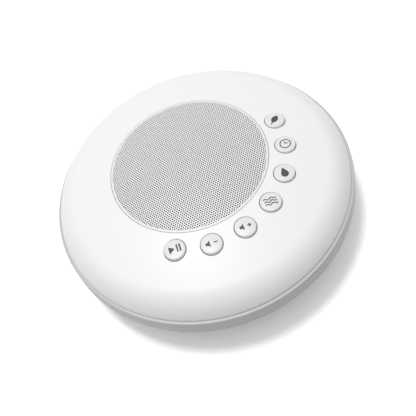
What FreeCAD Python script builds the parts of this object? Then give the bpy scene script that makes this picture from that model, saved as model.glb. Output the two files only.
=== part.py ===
import FreeCAD, Part
import math
import os
import Sketcher

# A round white noise sound machine: a white domed top moulding with a perforated steel grille and
# seven round keys, a light grey lower moulding, and inside them a loudspeaker, two circuit boards
# and a flat battery. Millimetres. +Z is up, the keys are read from -Y, and the origin is on the
# table, in the middle of the four rubber feet.

document = FreeCAD.newDocument("SoundMachine")

# The driving sizes. Each is written once here and read everywhere else.
SIZES = {
    # Outer form.
    "shell_radius": 70.0,       # radius of the sharp lower edge of the top moulding
    "crease_height": 23.8,      # height of that edge above the table
    "crown_rise": 12.2,         # from that edge up to the middle of the top
    "rim_radius": 13.0,         # radius of the rounding round the top
    "rim_inset": 12.0,          # from that edge in to the centre of the rounding
    "wall": 2.2,
    "seam_gap": 0.4,            # height of the shadow line between the two mouldings
    "seam_depth": 1.0,
    "skirt_wall": 3.4,          # thickness of the top moulding where the lower one is located
    "tongue_gap": 0.15,
    "tongue_wall": 1.8,
    "tongue_rise": 1.6,
    "lip_overhang": 1.3,        # the lower moulding stands out from the top one by this much
    "lip_round": 0.3,
    "band_height": 8.2,         # from the sharp edge of the top down to the lower edge of the band
    "band_flare": 1.0,
    "band_round": 1.0,
    "belly_radius": 60.0,
    "base_radius": 47.0,
    "foot_stand": 1.4,          # clear height under the base
    # Grille, on an axis of its own.
    "sound_x": -2.2,
    "sound_y": 3.0,
    "grille_radius": 37.4,
    "grille_fit": 0.15,
    "grille_drop": 0.1,         # top of the sheet below the surface round it
    "grille_sheet": 0.7,
    "cloth_thickness": 0.25,
    "layer_gap": 0.05,
    "perforation_radius": 1.7,
    "perforation_pitch": 6.2,
    "grille_border": 1.6,
    "deck_height": 31.6,        # flat underside of the deck that carries the grille
    "sound_hole_radius": 2.9,
    "sound_hole_pitch": 7.6,
    # Keys, on a ring round the grille's axis.
    "key_ring_radius": 45.15,
    "key_first_angle": 5.25,
    "key_step_angle": 19.77,
    "key_radius": 4.6,
    "key_fit": 0.27,
    "key_top": 34.8,
    "key_crown": 0.25,
    "key_edge": 0.55,
    "key_flange_radius": 5.9,
    "key_flange": 1.0,
    "key_seat_gap": 0.1,
    "key_stem_radius": 1.5,
    "key_collar_radius": 7.0,
    "key_collar_height": 30.7,
    "key_travel": 0.6,
    # Key board and its switches.
    "key_board_top": 24.6,
    "board_thickness": 1.6,
    "key_board_inner": 39.2,
    "key_board_outer": 56.0,
    "key_board_overrun": 17.0,  # the board runs on past the first and last key by this angle
    "key_post_ring": 52.3,
    "switch_side": 6.0,
    "switch_height": 3.5,
    "switch_plunger_radius": 1.65,
    "switch_bore_gap": 0.12,
    "switch_bore_depth": 2.4,
    "plunger_depth": 1.6,
    # Loudspeaker.
    "collar_height": 30.6,
    "collar_inner": 26.6,
    "collar_outer": 29.4,
    "gasket_thickness": 1.0,
    "frame_radius": 28.5,
    "frame_sheet": 0.8,
    "frame_ear_ring": 32.2,
    "frame_ear_radius": 3.1,
    "basket_depth": 8.3,
    "basket_mouth": 27.0,
    "basket_foot": 14.5,
    "magnet_radius": 18.0,
    "magnet_height": 6.0,
    "magnet_bore": 9.0,
    "plate_radius": 16.0,
    "plate_thickness": 2.0,
    "pole_radius": 6.2,
    "coil_radius": 6.9,
    "coil_wall": 0.35,
    "coil_gap": 0.35,
    "cone_radius": 21.6,
    "cone_sheet": 0.4,
    "surround_roll": 2.0,
    # Circuit board at the back, with the power inlet.
    "main_board_top": 17.8,
    "main_board_width": 48.0,
    "main_board_front": 37.0,
    "main_board_edge": 66.5,
    "main_post_x": 19.0,
    "main_post_front": 42.0,
    "main_post_back": 57.5,
    "inlet_width": 8.94,
    "inlet_height": 3.2,
    "inlet_length": 7.4,
    "inlet_set_back": 1.1,
    "inlet_gap": 0.3,
    # Battery.
    "battery_length": 46.0,
    "battery_width": 21.0,
    "battery_height": 6.0,
    "battery_bottom": 8.0,
    "battery_y": -32.5,
    "battery_pad": 0.8,
    "battery_gap": 0.3,
    "rib_wall": 1.6,
    # Sockets, plugs and the cable between the boards.
    "socket_x": 10.0,
    "socket_set_back": 4.5,     # from the main board's front edge
    "socket_length": 6.0,
    "socket_width": 4.6,
    "socket_height": 4.0,
    "plug_length": 5.0,
    "plug_width": 4.0,
    "plug_height": 3.1,
    "chip_row": 15.0,           # from the main board's front edge
    "sound_chip_side": 9.0,
    "small_chip_side": 4.6,
    "chip_height": 1.4,
    "chip_spacing": 10.5,
    "capacitor_radius": 3.15,
    "capacitor_height": 7.0,
    "capacitor_x": 14.0,
    "inlet_sheet": 0.3,
    "inlet_tongue": 0.7,
    "inlet_tongue_width": 6.6,
    "cable_width": 6.0,
    "cable_film": 0.3,
    "cable_lap": 5.0,
    "terminal_width": 6.4,
    "terminal_sheet": 0.8,
    "terminal_height": 6.0,
    "cell_round": 1.8,
    # Posts, screws and feet.
    "post_radius": 2.6,
    "pilot_radius": 0.85,
    "screw_radius": 1.0,
    "screw_head_radius": 2.1,
    "screw_head": 1.3,
    "case_post_radius": 3.3,
    "case_post_ring": 60.5,
    "case_screw_radius": 1.25,
    "case_pilot_radius": 1.05,
    "case_head_radius": 2.4,
    "case_head_room": 2.9,
    "case_split_height": 17.0,
    "case_floor": 2.0,
    "foot_radius": 5.0,
    "foot_recess": 0.8,
    "foot_fit": 0.2,
    "foot_ring": 37.0,
}
KEY_COUNT = 7
KEY_NAMES = ["leaf_key", "timer_key", "rain_key", "wave_key", "volume_up_key", "volume_down_key", "play_key"]
CORNER_COUNT = 4
SOUND_HOLE_RINGS = 3
KEY_POST_PLACES = [0.5, 2.5, 3.5, 5.5]

sheet = document.addObject("Spreadsheet::Sheet", "Sizes")
for row, (alias, number) in enumerate(SIZES.items(), 1):
    sheet.set(f"A{row}", alias)
    sheet.set(f"B{row}", str(number))
    sheet.setAlias(f"B{row}", alias)
document.recompute()


class Size:
    """A number together with the words that tie it to the sheet."""

    def __init__(self, value, words):
        self.value = value
        self.words = words

    def __add__(self, other):
        other = as_size(other)
        return Size(self.value + other.value, f"({self.words} + {other.words})")

    def __sub__(self, other):
        other = as_size(other)
        return Size(self.value - other.value, f"({self.words} - {other.words})")

    def __mul__(self, other):
        other = as_size(other)
        return Size(self.value * other.value, f"({self.words} * {other.words})")

    def __truediv__(self, other):
        other = as_size(other)
        return Size(self.value / other.value, f"({self.words} / {other.words})")

    def __neg__(self):
        return Size(-self.value, f"(0 - {self.words})")


def as_size(number):
    return number if isinstance(number, Size) else Size(float(number), str(float(number)))


def of(alias):
    return Size(SIZES[alias], f"Sizes.{alias}")


def root(size):
    return Size(math.sqrt(size.value), f"sqrt({size.words})")


def cosine(degrees):
    return Size(math.cos(math.radians(degrees.value)), f"cos({degrees.words})")


def sine(degrees):
    return Size(math.sin(math.radians(degrees.value)), f"sin({degrees.words})")


def bind(target, path, size):
    target.setExpression(path, as_size(size).words)


# Sizes that follow from the driving ones.
top_height = of("crease_height") + of("crown_rise")
rim_centre_r = of("shell_radius") - of("rim_inset")
rim_below = root(of("rim_radius") * of("rim_radius") - of("rim_inset") * of("rim_inset"))
rim_centre_z = of("crease_height") - rim_below
# The crown is part of a sphere that meets the rim's rounding without a corner.
rise_less_rim = of("crown_rise") - of("rim_radius")
crown_below = (rim_centre_r * rim_centre_r + rim_below * rim_below - rise_less_rim * rise_less_rim) / (
    (rise_less_rim + rim_below) * 2
)
crown_radius = of("crown_rise") + crown_below
crown_centre_z = of("crease_height") - crown_below
recess_depth = of("grille_drop") + of("grille_sheet") + of("cloth_thickness") + of("layer_gap") * 2
skirt_inner = of("shell_radius") - of("skirt_wall")
seat_height = of("crease_height") - of("seam_gap")
tongue_outer = skirt_inner - of("tongue_gap")
tongue_inner = tongue_outer - of("tongue_wall")
lip_radius = of("shell_radius") + of("lip_overhang")
band_radius = lip_radius + of("band_flare")
band_bottom = of("crease_height") - of("band_height")
floor_height = of("foot_stand") + of("wall")
key_board_bottom = of("key_board_top") - of("board_thickness")
main_board_bottom = of("main_board_top") - of("board_thickness")
flange_top = of("key_collar_height") - of("key_seat_gap")
flange_bottom = flange_top - of("key_flange")
switch_top = of("key_board_top") + of("switch_height")
plunger_top = switch_top + of("key_travel") + 0.2
frame_top = of("collar_height") - of("gasket_thickness")
frame_bottom = frame_top - of("frame_sheet")
plate_top = frame_bottom - of("basket_depth")
plate_bottom = plate_top - of("plate_thickness")
magnet_bottom = plate_bottom - of("magnet_height")
yoke_bottom = magnet_bottom - of("plate_thickness")
inlet_z = of("main_board_top") + of("inlet_height") / 2


def crown_z(radius, depth):
    """Height of the sphere that lies a depth below the crown, at a radius from the main axis."""
    ball = crown_radius - depth
    return crown_centre_z + root(ball * ball - radius * radius)


def on_ring(ring, degrees):
    """A point on a ring round the grille's axis, seen from that axis."""
    return ring * cosine(degrees), ring * sine(degrees)


def turned(x, y, degrees):
    """A point turned about the origin of its sketch."""
    return x * cosine(degrees) - y * sine(degrees), x * sine(degrees) + y * cosine(degrees)


def key_angle(place):
    return of("key_first_angle") - of("key_step_angle") * place


# Drawing and shaping helpers.


def new_body(label, x=0, y=0, z=0):
    body = document.addObject("PartDesign::Body", label)
    body.Label = label
    for axis, size in (("x", x), ("y", y), ("z", z)):
        if isinstance(size, Size):
            bind(body, f"Placement.Base.{axis}", size)
    return body


def new_sketch(body, name, role="XZ_Plane", shift=None):
    sketch = body.newObject("Sketcher::SketchObject", name)
    plane = next(item for item in body.Origin.OriginFeatures if item.Role == role)
    sketch.AttachmentSupport = [(plane, "")]
    sketch.MapMode = "FlatFace"
    for axis, size in zip("xyz", shift or ()):
        if isinstance(size, Size):
            bind(sketch, f"AttachmentOffset.Base.{axis}", size)
    return sketch


def place_rows(geometry, end, x, y):
    """The constraints that hold one point at x, y."""
    rows = []
    for kind, size, axis_line in (("DistanceX", x, -2), ("DistanceY", y, -1)):
        size = as_size(size)
        if size.value == 0:
            rows.append((Sketcher.Constraint("PointOnObject", geometry, end, axis_line), None))
        else:
            rows.append((Sketcher.Constraint(kind, -1, 1, geometry, end, size.value), size))
    return rows


def add_rows(sketch, rows):
    first = sketch.ConstraintCount
    sketch.addConstraint([constraint for constraint, size in rows])
    for index, (constraint, size) in enumerate(rows, first):
        if size is not None:
            sketch.setExpression(f"Constraints[{index}]", size.words)


def arc_between(start, end, radius, side):
    """The arc from start to end whose centre lies left (side 1) or right (side -1) of the way."""
    chord = end - start
    middle = (start + end) * 0.5
    left = FreeCAD.Vector(-chord.y, chord.x, 0).normalize()
    height = math.sqrt(max(radius**2 - (chord.Length / 2) ** 2, 0))
    centre = middle + left * (side * height)
    first, last = (start, end) if side > 0 else (end, start)
    angles = [math.atan2(point.y - centre.y, point.x - centre.x) for point in (first, last)]
    if angles[1] < angles[0]:
        angles[1] += 2 * math.pi
    circle = Part.Circle(centre, FreeCAD.Vector(0, 0, 1), radius)
    return Part.ArcOfCircle(circle, angles[0], angles[1])


def draw_loop(sketch, corners, arcs=None):
    """A closed outline. arcs maps a stretch's number to its radius and the side of its centre."""
    arcs = arcs or {}
    points = [FreeCAD.Vector(as_size(x).value, as_size(y).value, 0) for x, y in corners]
    first = sketch.GeometryCount
    ends = []
    shapes = []
    rows = []
    for index, start in enumerate(points):
        end = points[(index + 1) % len(points)]
        if index in arcs:
            radius, side = arcs[index]
            shapes.append(arc_between(start, end, radius.value, side))
            ends.append((1, 2) if side > 0 else (2, 1))
            chord = end - start
            if abs(chord.Length / 2 - radius.value) < 1e-6:
                # A half circle is held by its centre, which lies midway between its ends.
                across = 0 if abs(chord.y) > abs(chord.x) else 1
                ends_xy = zip(corners[index], corners[(index + 1) % len(points)])
                middle = [(as_size(a) + b) / 2 for a, b in ends_xy]
                rows.append(place_rows(first + index, 3, *middle)[across])
            else:
                rows.append((Sketcher.Constraint("Radius", first + index, radius.value), radius))
        else:
            shapes.append(Part.LineSegment(start, end))
            ends.append((1, 2))
    sketch.addGeometry(shapes, False)
    for index, (x, y) in enumerate(corners):
        following = (index + 1) % len(corners)
        joint = Sketcher.Constraint(
            "Coincident", first + index, ends[index][1], first + following, ends[following][0]
        )
        rows.append((joint, None))
        rows += place_rows(first + index, ends[index][0], x, y)
    add_rows(sketch, rows)


def draw_circles(sketch, places, radius):
    for x, y in places:
        index = sketch.GeometryCount
        centre = FreeCAD.Vector(as_size(x).value, as_size(y).value, 0)
        sketch.addGeometry(Part.Circle(centre, FreeCAD.Vector(0, 0, 1), radius.value), False)
        rows = place_rows(index, 3, x, y)
        rows.append((Sketcher.Constraint("Radius", index, radius.value), radius))
        add_rows(sketch, rows)


def draw_box(sketch, low_x, low_y, high_x, high_y):
    draw_loop(sketch, [(low_x, low_y), (high_x, low_y), (high_x, high_y), (low_x, high_y)])


def volume_of(body):
    document.recompute()
    return body.Shape.Volume


def finish_feature(body, feature, before, cuts):
    """Recomputes, and makes sure that the feature took away or added something."""
    change = volume_of(body) - before
    if (change > -1e-6) if cuts else (change < 1e-6):
        raise RuntimeError(f"{body.Label}: {feature.Name} changed nothing")
    return feature


def turn(body, name, corners, arcs=None, cuts=False):
    """Turns a half section, drawn as radius and height, round the body's own upright axis."""
    before = volume_of(body) if cuts else 0.0
    sketch = new_sketch(body, f"{name}_section")
    draw_loop(sketch, corners, arcs)
    feature = body.newObject("PartDesign::Groove" if cuts else "PartDesign::Revolution", name)
    feature.Profile = sketch
    feature.ReferenceAxis = (sketch, ["V_Axis"])
    feature.Angle = 360.0
    return finish_feature(body, feature, before, cuts)


def pad(body, name, sketch, length, down=False):
    has_solid = body.Tip is not None
    before = volume_of(body) if has_solid else 0.0
    feature = body.newObject("PartDesign::Pad", name)
    feature.Profile = sketch
    feature.Reversed = down
    bind(feature, "Length", length)
    return finish_feature(body, feature, before, False)


def pocket(body, name, sketch, length, up=False):
    before = volume_of(body)
    feature = body.newObject("PartDesign::Pocket", name)
    feature.Profile = sketch
    feature.Reversed = up
    bind(feature, "Length", length)
    return finish_feature(body, feature, before, True)


def repeat_round(body, name, feature, count, angle=None, clockwise=False):
    """Repeats a feature round the upright axis through its own sketch's origin."""
    pattern = body.newObject("PartDesign::PolarPattern", name)
    pattern.Originals = [feature]
    pattern.Axis = (feature.Profile[0], ["N_Axis"])
    pattern.Occurrences = count
    pattern.Reversed = clockwise
    if angle is None:
        pattern.Angle = 360.0
    else:
        bind(pattern, "Angle", angle)
    body.Tip = pattern
    document.recompute()
    return pattern


def primitive(kind, name, sizes, x=0, y=0, z=0):
    """A box or a cylinder with its sizes and its place tied to the sheet."""
    item = document.addObject(kind, name)
    for path, size in sizes.items():
        bind(item, path, size)
    for axis, size in (("x", x), ("y", y), ("z", z)):
        bind(item, f"Placement.Base.{axis}", size)
    return item


def group(label, items):
    """Several separate solids under one name."""
    compound = document.addObject("Part::Compound", label)
    compound.Label = label
    compound.Links = items
    return compound


def four_corners(x, back, front):
    return [(x, back), (-x, back), (-x, front), (x, front)]


def corner_angle(index):
    return as_size(45.0 + 90.0 * index)


# Top moulding: a crowned disc with a rounded rim, its posts and collars trimmed to the outside.


def top_outside():
    """Corners and arcs of the outer section, from the middle out to the sharp edge."""
    reach = of("rim_radius") / (crown_radius - of("rim_radius"))
    meet = (rim_centre_r * (reach + 1), rim_centre_z + (rim_centre_z - crown_centre_z) * reach)
    corners = [(0, top_height), meet, (of("shell_radius"), of("crease_height"))]
    return corners, {0: (crown_radius, -1), 1: (of("rim_radius"), -1)}


def make_top_shell():
    body = new_body("top_moulding")
    outside, arcs = top_outside()
    inner_rim = of("rim_radius") - of("wall")
    reach = inner_rim / (crown_radius - of("rim_radius"))
    inner_meet = (rim_centre_r * (reach + 1), rim_centre_z + (rim_centre_z - crown_centre_z) * reach)
    skirt_step = skirt_inner - rim_centre_r
    skirt_top = rim_centre_z + root(inner_rim * inner_rim - skirt_step * skirt_step)
    seam_radius = of("shell_radius") - of("seam_depth")
    corners = outside + [
        (seam_radius, of("crease_height")),
        (seam_radius, seat_height),
        (skirt_inner, seat_height),
        (skirt_inner, skirt_top),
        inner_meet,
        (0, top_height - of("wall")),
    ]
    wall_arcs = dict(arcs)
    wall_arcs[6] = (inner_rim, 1)
    wall_arcs[7] = (crown_radius - of("wall"), 1)
    turn(body, "wall_ring", corners, wall_arcs)

    axis_at = (of("sound_x"), of("sound_y"))
    deck = new_sketch(body, "deck_plan", "XY_Plane", (*axis_at, of("deck_height")))
    draw_circles(deck, [(0, 0)], of("grille_radius") + of("wall"))
    pad(body, "deck", deck, of("wall"))
    collar = new_sketch(body, "collar_plan", "XY_Plane", (*axis_at, of("collar_height")))
    draw_circles(collar, [(0, 0)], of("collar_outer"))
    draw_circles(collar, [(0, 0)], of("collar_inner"))
    pad(body, "speaker_collar", collar, of("deck_height") - of("collar_height") + of("wall"))

    post = new_sketch(body, "speaker_post_plan", "XY_Plane", (*axis_at, frame_top))
    draw_circles(post, [on_ring(of("frame_ear_ring"), corner_angle(0))], of("post_radius"))
    first = pad(body, "speaker_post", post, of("wall") + of("deck_height") - frame_top)
    repeat_round(body, "speaker_posts", first, CORNER_COUNT)

    guide = new_sketch(body, "key_collar_plan", "XY_Plane", (*axis_at, of("key_collar_height")))
    draw_circles(guide, [on_ring(of("key_ring_radius"), key_angle(0))], of("key_collar_radius"))
    first = pad(body, "key_collar", guide, top_height - of("key_collar_height"))
    key_span = of("key_step_angle") * (KEY_COUNT - 1)
    repeat_round(body, "key_collars", first, KEY_COUNT, key_span, clockwise=True)

    board_post = new_sketch(body, "board_post_plan", "XY_Plane", (*axis_at, of("key_board_top")))
    places = [on_ring(of("key_post_ring"), key_angle(place)) for place in KEY_POST_PLACES]
    draw_circles(board_post, places, of("post_radius"))
    pad(body, "board_posts", board_post, top_height - of("key_board_top"))

    case_post = new_sketch(body, "case_post_plan", "XY_Plane", (0, 0, of("case_split_height")))
    draw_circles(case_post, [on_ring(of("case_post_ring"), corner_angle(0))], of("case_post_radius"))
    first = pad(body, "case_post", case_post, top_height - of("case_split_height"))
    repeat_round(body, "case_posts", first, CORNER_COUNT)

    # What stands out through the top is trimmed off along the outer form.
    beyond = of("shell_radius") + of("wall")
    above = top_height + of("wall")
    waste = outside + [(beyond, of("crease_height")), (beyond, above), (0, above)]
    turn(body, "trim", waste, arcs, cuts=True)

    hole = new_sketch(body, "key_hole_plan", "XY_Plane", (*axis_at, top_height))
    draw_circles(hole, [on_ring(of("key_ring_radius"), key_angle(0))], of("key_radius") + of("key_fit"))
    first = pocket(body, "key_hole", hole, top_height - of("key_collar_height") + 1)
    repeat_round(body, "key_holes", first, KEY_COUNT, key_span, clockwise=True)

    for ring in range(SOUND_HOLE_RINGS + 1):
        plan = new_sketch(body, f"sound_hole_plan_{ring}", "XY_Plane", (*axis_at, top_height))
        draw_circles(plan, [(of("sound_hole_pitch") * ring, 0)], of("sound_hole_radius"))
        first = pocket(body, f"sound_hole_{ring}", plan, top_height - of("deck_height") + 1)
        if ring:
            repeat_round(body, f"sound_holes_{ring}", first, 6 * ring)

    for name, low, ring_axis, places in (
        ("speaker_pilots", frame_top, axis_at, None),
        ("board_pilots", of("key_board_top"), axis_at, places),
        ("case_pilots", of("case_split_height"), (0, 0), None),
    ):
        plan = new_sketch(body, f"{name}_plan", "XY_Plane", (*ring_axis, low))
        if places:
            draw_circles(plan, places, of("pilot_radius"))
            pocket(body, name, plan, of("wall") * 2, up=True)
        elif name == "case_pilots":
            draw_circles(plan, [on_ring(of("case_post_ring"), corner_angle(0))], of("case_pilot_radius"))
            first = pocket(body, "case_pilot", plan, of("wall") * 4, up=True)
            repeat_round(body, name, first, CORNER_COUNT)
        else:
            draw_circles(plan, [on_ring(of("frame_ear_ring"), corner_angle(0))], of("pilot_radius"))
            first = pocket(body, "speaker_pilot", plan, of("wall"), up=True)
            repeat_round(body, name, first, CORNER_COUNT)

    # The grille's recess has the crown's own curve for a floor.
    well = primitive(
        "Part::Cylinder",
        "recess_well",
        {"Radius": of("grille_radius") + of("grille_fit"), "Height": crown_radius},
        *axis_at,
        of("collar_height"),
    )
    ball_size = {"Radius": crown_radius - recess_depth}
    ball = primitive("Part::Sphere", "recess_ball", ball_size, 0, 0, crown_centre_z)
    waste_disc = document.addObject("Part::Cut", "recess_waste")
    waste_disc.Base = well
    waste_disc.Tool = ball
    shell = document.addObject("Part::Cut", "top_shell")
    shell.Label = "top_shell"
    shell.Base = body
    shell.Tool = waste_disc
    return shell


# Lower moulding: a flared band under the seam, a bowl-shaped belly and a flat base.


def belly():
    """Corners and arcs of the outer section, from the middle of the base out to the band."""
    corners = [
        (0, of("foot_stand")),
        (of("base_radius"), of("foot_stand")),
        (band_radius - of("band_round"), band_bottom),
        (band_radius, band_bottom + of("band_round")),
    ]
    return corners, {1: (of("belly_radius"), 1), 2: (of("band_round"), 1)}


def make_bottom_shell():
    body = new_body("bottom_shell")
    outside, arcs = belly()
    band_inner = band_radius - of("wall") - of("band_flare")
    shelf = of("tongue_gap") + of("wall")
    corners = outside + [
        (lip_radius, seat_height - of("lip_round")),
        (lip_radius - of("lip_round"), seat_height),
        (tongue_outer, seat_height),
        (tongue_outer, seat_height + of("tongue_rise")),
        (tongue_inner, seat_height + of("tongue_rise")),
        (tongue_inner, seat_height - shelf),
        (band_inner, seat_height - shelf - (band_inner - tongue_inner)),
        (band_inner, band_bottom + of("band_round")),
        (of("base_radius") - of("wall") / 4, floor_height),
        (0, floor_height),
    ]
    wall_arcs = dict(arcs)
    wall_arcs[4] = (of("lip_round"), 1)
    wall_arcs[11] = (of("belly_radius") - of("wall"), -1)
    turn(body, "wall_ring", corners, wall_arcs)

    below = of("foot_stand")
    post = new_sketch(body, "case_post_plan", "XY_Plane", (0, 0, of("case_split_height")))
    draw_circles(post, [on_ring(of("case_post_ring"), corner_angle(0))], of("case_post_radius"))
    first = pad(body, "case_post", post, of("case_split_height") - below, down=True)
    repeat_round(body, "case_posts", first, CORNER_COUNT)

    board_post = new_sketch(body, "board_post_plan", "XY_Plane", (0, 0, main_board_bottom))
    places = four_corners(of("main_post_x"), of("main_post_back"), of("main_post_front"))
    draw_circles(board_post, places, of("post_radius"))
    pad(body, "board_posts", board_post, main_board_bottom - below, down=True)

    # Two walls hold the battery by its long sides, and two bars carry it.
    bars = new_sketch(body, "battery_bar_plan", "XY_Plane", (0, 0, of("battery_bottom") - of("battery_pad")))
    half_width = of("battery_width") / 2 + of("battery_gap")
    quarter = of("battery_length") / 4
    for side in (-1, 1):
        draw_box(
            bars,
            quarter * side - of("rib_wall"),
            of("battery_y") - half_width,
            quarter * side + of("rib_wall"),
            of("battery_y") + half_width,
        )
    pad(body, "battery_bars", bars, of("battery_bottom") - of("battery_pad") - below, down=True)
    rib_top = of("battery_bottom") + of("battery_height") / 2
    ribs = new_sketch(body, "battery_rib_plan", "XY_Plane", (0, 0, rib_top))
    for side in (-1, 1):
        near = of("battery_y") + half_width * side
        far = near + of("rib_wall") * side
        low, high = (near, far) if side > 0 else (far, near)
        draw_box(ribs, -quarter * 1.5, low, quarter * 1.5, high)
    pad(body, "battery_ribs", ribs, rib_top - below, down=True)

    # What stands out under the belly is trimmed off along the outer form.
    beyond = band_radius + of("wall")
    waste = outside + [(beyond, band_bottom + of("band_round")), (beyond, as_size(-1.0)), (0, as_size(-1.0))]
    turn(body, "trim", waste, arcs, cuts=True)

    pilots = new_sketch(body, "board_pilot_plan", "XY_Plane", (0, 0, main_board_bottom))
    draw_circles(pilots, places, of("pilot_radius"))
    pocket(body, "board_pilots", pilots, of("wall") * 2)

    shank = new_sketch(body, "case_hole_plan", "XY_Plane", (0, 0, of("case_split_height")))
    draw_circles(
        shank,
        [on_ring(of("case_post_ring"), corner_angle(0))],
        of("case_screw_radius") + of("tongue_gap"),
    )
    first = pocket(body, "case_hole", shank, of("case_split_height"))
    repeat_round(body, "case_holes", first, CORNER_COUNT)
    head = new_sketch(body, "case_head_plan", "XY_Plane", (0, 0, of("case_split_height") - of("case_floor")))
    first_post = on_ring(of("case_post_ring"), corner_angle(0))
    draw_circles(head, [first_post], of("case_head_radius") + of("foot_fit"))
    first = pocket(body, "case_head_room", head, of("case_split_height"))
    repeat_round(body, "case_head_rooms", first, CORNER_COUNT)

    seat = new_sketch(body, "foot_seat_plan", "XY_Plane", (0, 0, of("foot_stand")))
    draw_circles(seat, [on_ring(of("foot_ring"), corner_angle(0))], of("foot_radius") + of("foot_fit"))
    first = pocket(body, "foot_seat", seat, of("foot_recess"), up=True)
    repeat_round(body, "foot_seats", first, CORNER_COUNT)

    # The inlet's window is a slot with round ends, cut in from the back of the band.
    window = new_sketch(body, "inlet_window_plan", "XZ_Plane", (0, 0, -(tongue_inner - of("wall"))))
    half_high = of("inlet_height") / 2 + of("inlet_gap")
    half_flat = of("inlet_width") / 2 + of("inlet_gap") - half_high
    corners = [
        (-half_flat, inlet_z - half_high),
        (half_flat, inlet_z - half_high),
        (half_flat, inlet_z + half_high),
        (-half_flat, inlet_z + half_high),
    ]
    draw_loop(window, corners, {1: (half_high, 1), 3: (half_high, 1)})
    pocket(body, "inlet_window", window, of("wall") * 5)
    return body


# Grille: a domed sheet of staggered holes, and the cloth behind it.


def domed_disc(label, radius, depth, thickness):
    """A disc round the grille's axis that follows the crown, with its top a depth below it."""
    body = new_body(label)
    reach = of("grille_radius") + of("wall") - of("sound_x") + of("sound_y")
    corners = [
        (0, top_height - depth),
        (reach, crown_z(reach, depth)),
        (reach, crown_z(reach, depth + thickness)),
        (0, top_height - depth - thickness),
    ]
    arcs = {0: (crown_radius - depth, -1), 2: (crown_radius - depth - thickness, 1)}
    turn(body, "sheet", corners, arcs)
    plan = new_sketch(body, "edge_plan", "XY_Plane", (of("sound_x"), of("sound_y"), top_height))
    draw_circles(plan, [(0, 0)], radius)
    draw_circles(plan, [(0, 0)], reach * 2)
    pocket(body, "edge", plan, of("crown_rise"))
    return body


def make_grille():
    blank = domed_disc("grille_blank", of("grille_radius"), of("grille_drop"), of("grille_sheet"))
    pitch = SIZES["perforation_pitch"]
    row_pitch = pitch * math.sqrt(3) / 2
    reach = SIZES["grille_radius"] - SIZES["grille_border"] - SIZES["perforation_radius"]
    rows = int(reach / row_pitch) + 1
    columns = int(reach / pitch) + 1
    punches = []
    for row in range(-rows, rows + 1):
        for column in range(-columns, columns + 1):
            x = (column + (row % 2) / 2) * pitch
            y = row * row_pitch
            if math.hypot(x, y) <= reach:
                low = FreeCAD.Vector(SIZES["sound_x"] + x, SIZES["sound_y"] + y, SIZES["deck_height"])
                punches.append(Part.makeCylinder(SIZES["perforation_radius"], SIZES["crown_rise"], low))
    punch = document.addObject("Part::Feature", "grille_punches")
    punch.Shape = Part.makeCompound(punches)
    grille = document.addObject("Part::Cut", "speaker_grille")
    grille.Label = "speaker_grille"
    grille.Base = blank
    grille.Tool = punch
    return grille


def make_cloth():
    depth = of("grille_drop") + of("grille_sheet") + of("layer_gap")
    return domed_disc("grille_cloth", of("grille_radius") - of("grille_fit"), depth, of("cloth_thickness"))


# Keys: each has a round cap with a crowned face, a flange that keeps it in, and a stem.


def make_key(index):
    x, y = on_ring(of("key_ring_radius"), key_angle(index))
    body = new_body(KEY_NAMES[index], of("sound_x") + x, of("sound_y") + y)
    edge_height = of("key_top") - of("key_crown")
    crown = (of("key_radius") - of("key_edge")) * (of("key_radius") - of("key_edge"))
    face_radius = crown / (of("key_crown") * 2) + of("key_crown") / 2
    corners = [
        (0, of("key_top")),
        (of("key_radius") - of("key_edge"), edge_height),
        (of("key_radius"), edge_height - of("key_edge")),
        (of("key_radius"), flange_top),
        (of("key_flange_radius"), flange_top),
        (of("key_flange_radius"), flange_bottom),
        (of("key_stem_radius"), flange_bottom),
        (of("key_stem_radius"), plunger_top),
        (0, plunger_top),
    ]
    turn(body, "cap", corners, {0: (face_radius, -1), 1: (of("key_edge"), -1)})
    return body


def make_plunger(index):
    x, y = on_ring(of("key_ring_radius"), key_angle(index))
    bottom = switch_top - of("plunger_depth")
    plunger = primitive(
        "Part::Cylinder",
        f"switch_plunger_{index + 1}",
        {"Radius": of("switch_plunger_radius"), "Height": plunger_top - bottom},
        of("sound_x") + x,
        of("sound_y") + y,
        bottom,
    )
    plunger.Label = f"switch_plunger_{index + 1}"
    return plunger


def make_switches():
    bodies = []
    for index in range(KEY_COUNT):
        x, y = on_ring(of("key_ring_radius"), key_angle(index))
        x = of("sound_x") + x
        y = of("sound_y") + y
        half = of("switch_side") / 2
        can = primitive(
            "Part::Box",
            f"switch_can_{index}",
            {"Length": of("switch_side"), "Width": of("switch_side"), "Height": of("switch_height")},
            x - half,
            y - half,
            of("key_board_top"),
        )
        bore = primitive(
            "Part::Cylinder",
            f"switch_bore_{index}",
            {"Radius": of("switch_plunger_radius") + of("switch_bore_gap"), "Height": of("switch_height")},
            x,
            y,
            switch_top - of("switch_bore_depth"),
        )
        switch = document.addObject("Part::Cut", f"switch_{index}")
        switch.Base = can
        switch.Tool = bore
        bodies.append(switch)
    return group("key_switches", bodies)


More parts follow.
